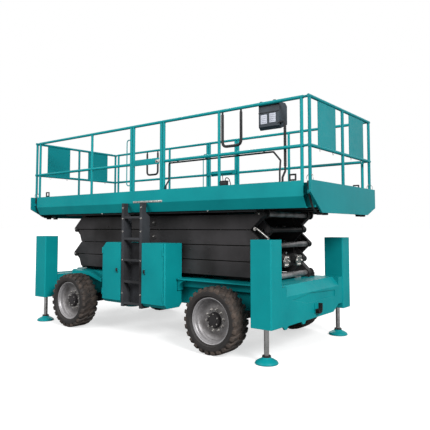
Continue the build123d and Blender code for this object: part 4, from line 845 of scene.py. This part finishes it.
def control_box():
    """Two pale blank plates, the lid's lip, screws, a stick and switches on the control box."""
    low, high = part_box("control_box")
    x0, x1, z0 = low[0], high[0], low[2]
    out = low[1] + 0.033  # the face, behind the hooks that hold the box on the rail
    panels, dark = Shape(), Shape()
    for a, b, rise in ((0.030, 0.118, 0.070), (0.152, 0.240, 0.078)):
        foot = z0 + rise
        panels.box((x0 + a, out - 0.0035, foot), (x0 + b, out + 0.002, foot + 0.112), 0.0015)
        for i in range(4):
            line = foot + 0.018 + 0.024 * i
            dark.box((x0 + a + 0.010, out - 0.0042, line), (x0 + b - 0.010, out - 0.003, line + 0.002),
                     0.0002)
    dark.box((x0 - 0.004, out - 0.0060, z0 + 0.205), (x1, out + 0.002, z0 + 0.212), 0.001)
    for x in (x0 + 0.014, x1 - 0.014):
        for z in (z0 + 0.06, high[2] - 0.05):
            dark.bolt((x, out + 0.0005, z), (0, -1, 0), 0.011)
    inner = high[1] - 0.0005
    dark.turn([(0.030, 0), (0.030, 0.004), (0.022, 0.010), (0.018, 0.018), (0.010, 0.024),
               (0.007, 0.028), (0.007, 0.060), (0.013, 0.070), (0.016, 0.085), (0.012, 0.098),
               (0.0, 0.100)],
              pointing((x0 + 0.09, inner, z0 + 0.165), (0, 1, 0.12)), 28)
    for i in range(3):
        x = x0 + 0.17 + 0.04 * i
        dark.turn([(0.014, 0), (0.014, 0.005), (0.010, 0.008), (0.010, 0.016), (0.0, 0.018)],
                  pointing((x, inner, z0 + 0.215), (0, 1, 0)), 20)
    dark.rod((x1 - 0.004, out + 0.03, z0 + 0.07), (x1 + 0.016, out + 0.03, z0 + 0.07), 0.020, 24)
    piece("control_box_plates", panels, "pale_panel", "platform")
    piece("control_box_controls", dark, "black_plastic", "platform")


def grip_sleeves(shape, s, toe_top):
    """Rubber over the hand grip's round bar and over the anchor rings' four sides."""
    near, far = [-s * x for x in GRIP_X]
    y = s * RAIL_Y
    shape.tube(rounded([(near, y, GRIP_TOP), (near, y, GRIP_BOTTOM), (far, y, GRIP_BOTTOM),
                        (far, y, GRIP_TOP)], GRIP_BEND), SLEEVE_R, 16)
    y = s * ANCHOR_Y
    low, high = toe_top + 0.0105, toe_top + 0.073
    for x0, x1 in ANCHOR_X:
        x0, x1 = x0 + ANCHOR_HALF, x1 - ANCHOR_HALF
        corners = [Vector(c) for c in ((x0, y, low), (x1, y, low), (x1, y, high), (x0, y, high))]
        for a, b in zip(corners, corners[1:] + corners[:1]):
            reach = (b - a).normalized() * 0.006
            shape.rod(a - reach, b + reach, 0.0105, 14)


def cable_sheath(shape):
    """Ribbed sheath over the upright run of the control box's cable."""
    y = -(RAIL_Y - RAIL_R - CABLE_R - 0.002)
    shape.rod((CABLE_X, y, 2.300), (CABLE_X, y, 2.790), CABLE_R + 0.0035, 20)
    for i in range(25):
        z = 2.305 + 0.02 * i
        shape.rod((CABLE_X, y, z), (CABLE_X, y, z + 0.008), CABLE_R + 0.0050, 20)


def socket_box(shape, toe_top):
    """A black socket box on the toe board with a lid, a short stalk and a looped lead."""
    x0, z0 = 1.455, toe_top - 0.0005
    y0, y1 = -0.9420, -0.8980
    lid = z0 + 0.060
    y = y1 - 0.02
    shape.box((x0, y0, z0), (x0 + 0.100, y1, z0 + 0.052), 0.004)
    shape.box((x0 - 0.004, y0 - 0.003, z0 + 0.050), (x0 + 0.104, y1 + 0.002, z0 + 0.062), 0.003)
    shape.rod((x0 + 0.03, y, lid), (x0 + 0.02, y - 0.005, z0 + 0.150), 0.0045, 12)
    shape.tube(rounded([(x0 + 0.06, y, lid), (x0 + 0.075, y, lid + 0.045),
                        (x0 + 0.125, y, lid + 0.025), (x0 + 0.150, y, z0 + 0.0065)], 0.03), 0.006)


def extension_details(end, e):
    """Pads and cheeks at the end plate, safety pins, panel rings, and a hose at one corner."""
    low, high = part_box("extension_deck_" + end)
    rails_low, rails_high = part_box("extension_rails_" + end)
    face = high[0] if e > 0 else low[0]
    pads, steel, rings, hose, cheek = Shape(), Shape(), Shape(), Shape(), Shape()
    for s in (-1, 1):
        for y in [s * away for away in PAD_Y]:
            pads.turn([(0, 0), (0.034, 0), (0.040, 0.006), (0.040, 0.024), (0, 0.024)],
                      pointing((face - e * 0.060, y, low[2] - 0.023), UP), 24)
            pads.box((face - e * 0.100, y - 0.03, low[2] + 0.0005),
                     (face - e * 0.020, y + 0.03, low[2] + 0.012), 0.002)
        x, z = face - e * 0.047, PIN_RING_Z + 0.041
        steel.rod((x, s * RAIL_Y, z), (x, s * 0.860, z), 0.007, 14)
        steel.tube([(x + 0.042 * sin(t), s * 0.921, PIN_RING_Z + 0.044 * cos(t))
                    for t in full_turn(28)], 0.0036, 8)
        steel.rod((x, s * 0.912, z), (x, s * 0.926, z), 0.013, 16)
        cheek.box((face - e * 0.200, s * 0.818, 1.806), (face - e * 0.024, s * 0.826, 2.080), 0.001)
    x = (rails_high[0] if e > 0 else rails_low[0]) - e * 0.026
    for y in PANEL_RING_Y:
        for z in PANEL_RING_Z:
            rings.tube([(x, y + 0.014 * cos(t), z + 0.020 * sin(t)) for t in full_turn(18)],
                       0.0028, 8)
    x = face - e * 0.060
    hose.tube(rounded([(x, -0.925, 2.100), (x, -0.932, 2.020), (x, -0.915, 1.940),
                       (x, -0.872, 1.862), (x, -0.842, 1.800), (x, -0.780, 1.768),
                       (x - e * 0.020, -0.700, 1.764), (x - e * 0.035, -0.620, 1.772)], 0.05),
              0.0125)
    hose.box((x - 0.020, -0.934, 2.040), (x + 0.020, -0.890, 2.105), 0.004)
    steel.rod((x - e * 0.034, -0.625, 1.7715), (x - e * 0.042, -0.570, 1.776), 0.017, 6)
    steel.bolt((x - e * 0.040, -0.575, 1.7660), (0, -0.6, -1), 0.030)
    for name, shape, finish in (("corner_cheeks", cheek, "teal_paint"),
                                ("end_pads", pads, "black_plastic"),
                                ("safety_pins", steel, "zinc_plated"),
                                ("panel_rings", rings, "zinc_plated"),
                                ("corner_hose", hose, "hose")):
        piece(f"{name}_{end}", shape, finish, "extension_" + end)


def gate_latch(hand, s):
    """The gate bar's wide plate, and a sprung latch with its knob at the bar's end."""
    low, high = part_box("gate_bar_" + hand)
    latch, plate = Shape(), Shape()
    middle = (low[2] + high[2]) / 2
    plate.box((GATE_PLATE_X[0], s * 0.9290, middle - 0.045),
              (GATE_PLATE_X[1], s * 0.9345, middle + 0.045), 0.001)
    piece("gate_plate_" + hand, plate, "teal_paint", "gate_" + hand)
    latch.box((high[0] - 0.120, s * 0.932, low[2] + 0.008),
              (high[0] - 0.040, s * 0.938, low[2] + 0.050), 0.001)
    x, z = high[0] - 0.100, low[2] + 0.028
    latch.rod((x, s * 0.932, z), (x, s * 0.958, z), 0.010, 20)
    piece("gate_latch_" + hand, latch, "zinc_plated", "gate_" + hand)


# ---------------- chassis
WIPER_DEPTH = 0.010  # of the ring round each leg, below its housing
WIPER_BORE_R = 0.0312
BOOT_H = 0.030
BOOT_BORE_R = 0.0305
BOOT_CLEAR = 0.002  # between a raised leg's boot and the wiper
VALVES = 5
LATCH_IN = 0.060  # from a door's free edge to its latch
DOOR_FACE = 1.050
LADDER_FACE = 1.0398
LADDER_BOLT_Z = (0.62, 1.10, 1.516, 1.704, 1.86)


def chassis_details():
    """Door latches, ladder bolts, the legs' wipers and boots, and the valve blocks."""
    for hand, s in HANDS:
        for name in ("front", "rear"):
            door_latch(name, hand, s)
        ladder_bolts(hand, s)
    for end, _ in ENDS:
        for hand, _ in HANDS:
            leg_wiper(end, hand)
            leg_boot(end, hand)
    valve_blocks()


def door_latch(name, hand, s):
    """A latch with its paddle and lock, on the door's own body."""
    low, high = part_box(f"cabinet_door_{name}_{hand}")
    x = low[0] + LATCH_IN if name == "front" else high[0] - LATCH_IN
    y = s * DOOR_FACE
    latch = Shape()
    latch.box((x - 0.018, y + s * 0.0135, 0.930), (x + 0.018, y + s * 0.0190, 0.980), 0.003)
    latch.box((x - 0.010, y + s * 0.0185, 0.938), (x + 0.010, y + s * 0.0230, 0.972), 0.002)
    latch.rod((x, y, 0.915), (x, y + s * 0.0045, 0.915), 0.009, 18)
    piece(f"door_latch_{name}_{hand}", latch, "black_plastic", f"door_{name}_{hand}")


def ladder_bolts(hand, s):
    """Bolts through the ladder's stringers."""
    low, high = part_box("ladder_" + hand)
    bolts = Shape()
    for x in (low[0] + 0.025, high[0] - 0.025):
        for z in LADDER_BOLT_Z:
            bolts.bolt((x, s * LADDER_FACE, z), (0, s, 0), 0.016)
    piece("ladder_bolts_" + hand, bolts, "zinc_plated", "chassis")


def leg_wiper(end, hand):
    """The ring that wipes a leg's rod, under its housing."""
    low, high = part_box(f"outrigger_housing_{end}_{hand}")
    middle = (low + high) / 2
    wiper = Shape()
    wiper.turn([(WIPER_BORE_R, -WIPER_DEPTH), (0.042, -WIPER_DEPTH), (0.048, -0.006),
                (0.062, -0.004), (0.062, 0.0005), (WIPER_BORE_R, 0.0005),
                (WIPER_BORE_R, -WIPER_DEPTH)], pointing((middle.x, middle.y, low[2]), UP), 36)
    piece(f"leg_wiper_{end}_{hand}", wiper, "black_steel", "chassis")


def leg_boot(end, hand):
    """The black boot of the ball joint between a leg's rod and its pad."""
    leg = f"outrigger_leg_{end}_{hand}"
    low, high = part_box(f"leg_rod_{end}_{hand}")
    middle = (low + high) / 2
    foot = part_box(f"leg_pad_{end}_{hand}")[1][2]
    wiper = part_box(f"outrigger_housing_{end}_{hand}")[0][2] - WIPER_DEPTH
    highest = wiper - BOOT_CLEAR - max(joint_where("child", leg)["range_m"])
    top = min(foot + BOOT_H, highest)  # it stays under the wiper when the leg is raised
    boot = Shape()
    boot.turn([(BOOT_BORE_R, foot - 0.012), (0.050, foot - 0.012), (0.053, foot - 0.006),
               (0.051, top - 0.004), (0.044, top), (BOOT_BORE_R, top),
               (BOOT_BORE_R, foot - 0.012)], pointing((middle.x, middle.y, 0), UP), 32)
    piece(f"leg_boot_{end}_{hand}", boot, "hose", leg)


def valve_blocks():
    """Lift valve blocks beside the cylinders, each with a row of coils."""
    block, coils = Shape(), Shape()
    for s in (-1, 1):
        block.box((1.150, s * 0.285, 0.8655), (1.800, s * 0.375, 0.9300), 0.004)
        for i in range(VALVES):
            coils.turn([(0.024, 0), (0.024, 0.004), (0.020, 0.006), (0.020, 0.022),
                        (0.010, 0.026), (0.0, 0.026)],
                       pointing((1.22 + 0.125 * i, s * 0.33, 0.9295), UP), 20)
    piece("valve_blocks", block, "black_steel", "chassis")
    piece("valve_coils", coils, "cast_metal", "chassis")


# ---------------- floor, light, view
FLOOR_HALF = 400.0
FLOOR_BOUNCE = (0.22, 0.22, 0.22, 1)  # what the floor reflects on the machine
FLOOR_PALE = ((0.50, 0.50, 0.50, 1), (0.54, 0.54, 0.54, 1))  # what the camera sees lit
SKY_LIGHT = 0.50  # the sky's strength as a lamp; seen or mirrored it is white
WHITE = (1.0, 1.0, 1.0, 1)
CAMERA_PLACE = (5.2706, -5.9761, 1.5736)
CAMERA_TILT = 0.0601  # upwards, and the turn to the left, in radians
CAMERA_TURN = 0.6589


def floor():
    """A wide floor that shows as white away from the machine and keeps its shadow."""
    mesh = bpy.data.meshes.new("floor")
    corners = [(x * FLOOR_HALF, y * FLOOR_HALF, 0) for x, y in ((-1, -1), (1, -1), (1, 1), (-1, 1))]
    mesh.from_pydata(corners, [], [(0, 1, 2, 3)])
    made = bpy.data.objects.new("floor", mesh)
    bpy.context.scene.collection.objects.link(made)
    s = Shader("floor")
    seen = s.node("ShaderNodeLightPath").outputs["Is Camera Ray"]
    away = s.node("ShaderNodeVectorMath", operation="LENGTH")
    s.join(s.place, away.inputs[0])
    glow = s.ramp(away.outputs["Value"], 5.0, 14.0, 0.62, 1.0)
    pale = s.mix(s.ramp(s.noise(0.6, 2), 0.3, 0.7), *FLOOR_PALE)
    s.set(Base_Color=s.mix(seen, FLOOR_BOUNCE, pale), Roughness=0.9, Specular_IOR_Level=0.0,
          Emission_Color=WHITE, Emission_Strength=s.math("MULTIPLY", seen, glow))
    mesh.materials.append(s.material)


def sky():
    """A world that shows and mirrors as white, and lights softly."""
    world = bpy.data.worlds.new("sky")
    world.use_nodes = True
    tree = world.node_tree
    path = tree.nodes.new("ShaderNodeLightPath")
    shown = path.outputs["Is Camera Ray"]
    for ray in ("Is Glossy Ray", "Is Transmission Ray"):
        either = tree.nodes.new("ShaderNodeMath")
        either.operation = "MAXIMUM"
        tree.links.new(shown, either.inputs[0])
        tree.links.new(path.outputs[ray], either.inputs[1])
        shown = either.outputs[0]
    level = tree.nodes.new("ShaderNodeMapRange")
    level.inputs["To Min"].default_value = SKY_LIGHT
    level.inputs["To Max"].default_value = 1.0
    tree.links.new(shown, level.inputs["Value"])
    back = tree.nodes["Background"]
    tree.links.new(level.outputs["Result"], back.inputs["Strength"])
    back.inputs["Color"].default_value = WHITE
    bpy.context.scene.world = world


def lamp(name, place, aim, size, power):
    """A soft square lamp that points at a place."""
    light = bpy.data.lights.new(name, "AREA")
    light.shape = "SQUARE"
    light.size = size
    light.energy = power
    made = bpy.data.objects.new(name, light)
    made.location = place
    made.rotation_euler = (Vector(aim) - Vector(place)).to_track_quat("-Z", "Y").to_euler()
    bpy.context.scene.collection.objects.link(made)


def camera():
    """Eye-level three-quarter view of the front right-hand corner."""
    lens = bpy.data.cameras.new("camera")
    lens.lens = 41.41
    lens.sensor_width = 36.0
    lens.shift_y = -0.040
    lens.clip_end = 1000.0
    made = bpy.data.objects.new("camera", lens)
    made.location = CAMERA_PLACE
    made.rotation_euler = (pi / 2 + CAMERA_TILT, 0, CAMERA_TURN)
    bpy.context.scene.collection.objects.link(made)
    bpy.context.scene.camera = made


wheels()
arm_fittings()
cylinder_fittings()
platform_details()
chassis_details()
floor()
sky()
lamp("key", (17.0, -8.0, 11.0), (0, 0, 1.3), 6.0, 3900)
lamp("fill", (-2.0, -10.0, 6.5), (0, 0, 1.3), 5.0, 560)
lamp("back", (-6.0, 8.0, 7.0), (0, 0, 1.5), 5.0, 420)
camera()
bpy.context.scene.view_settings.view_transform = "Standard"
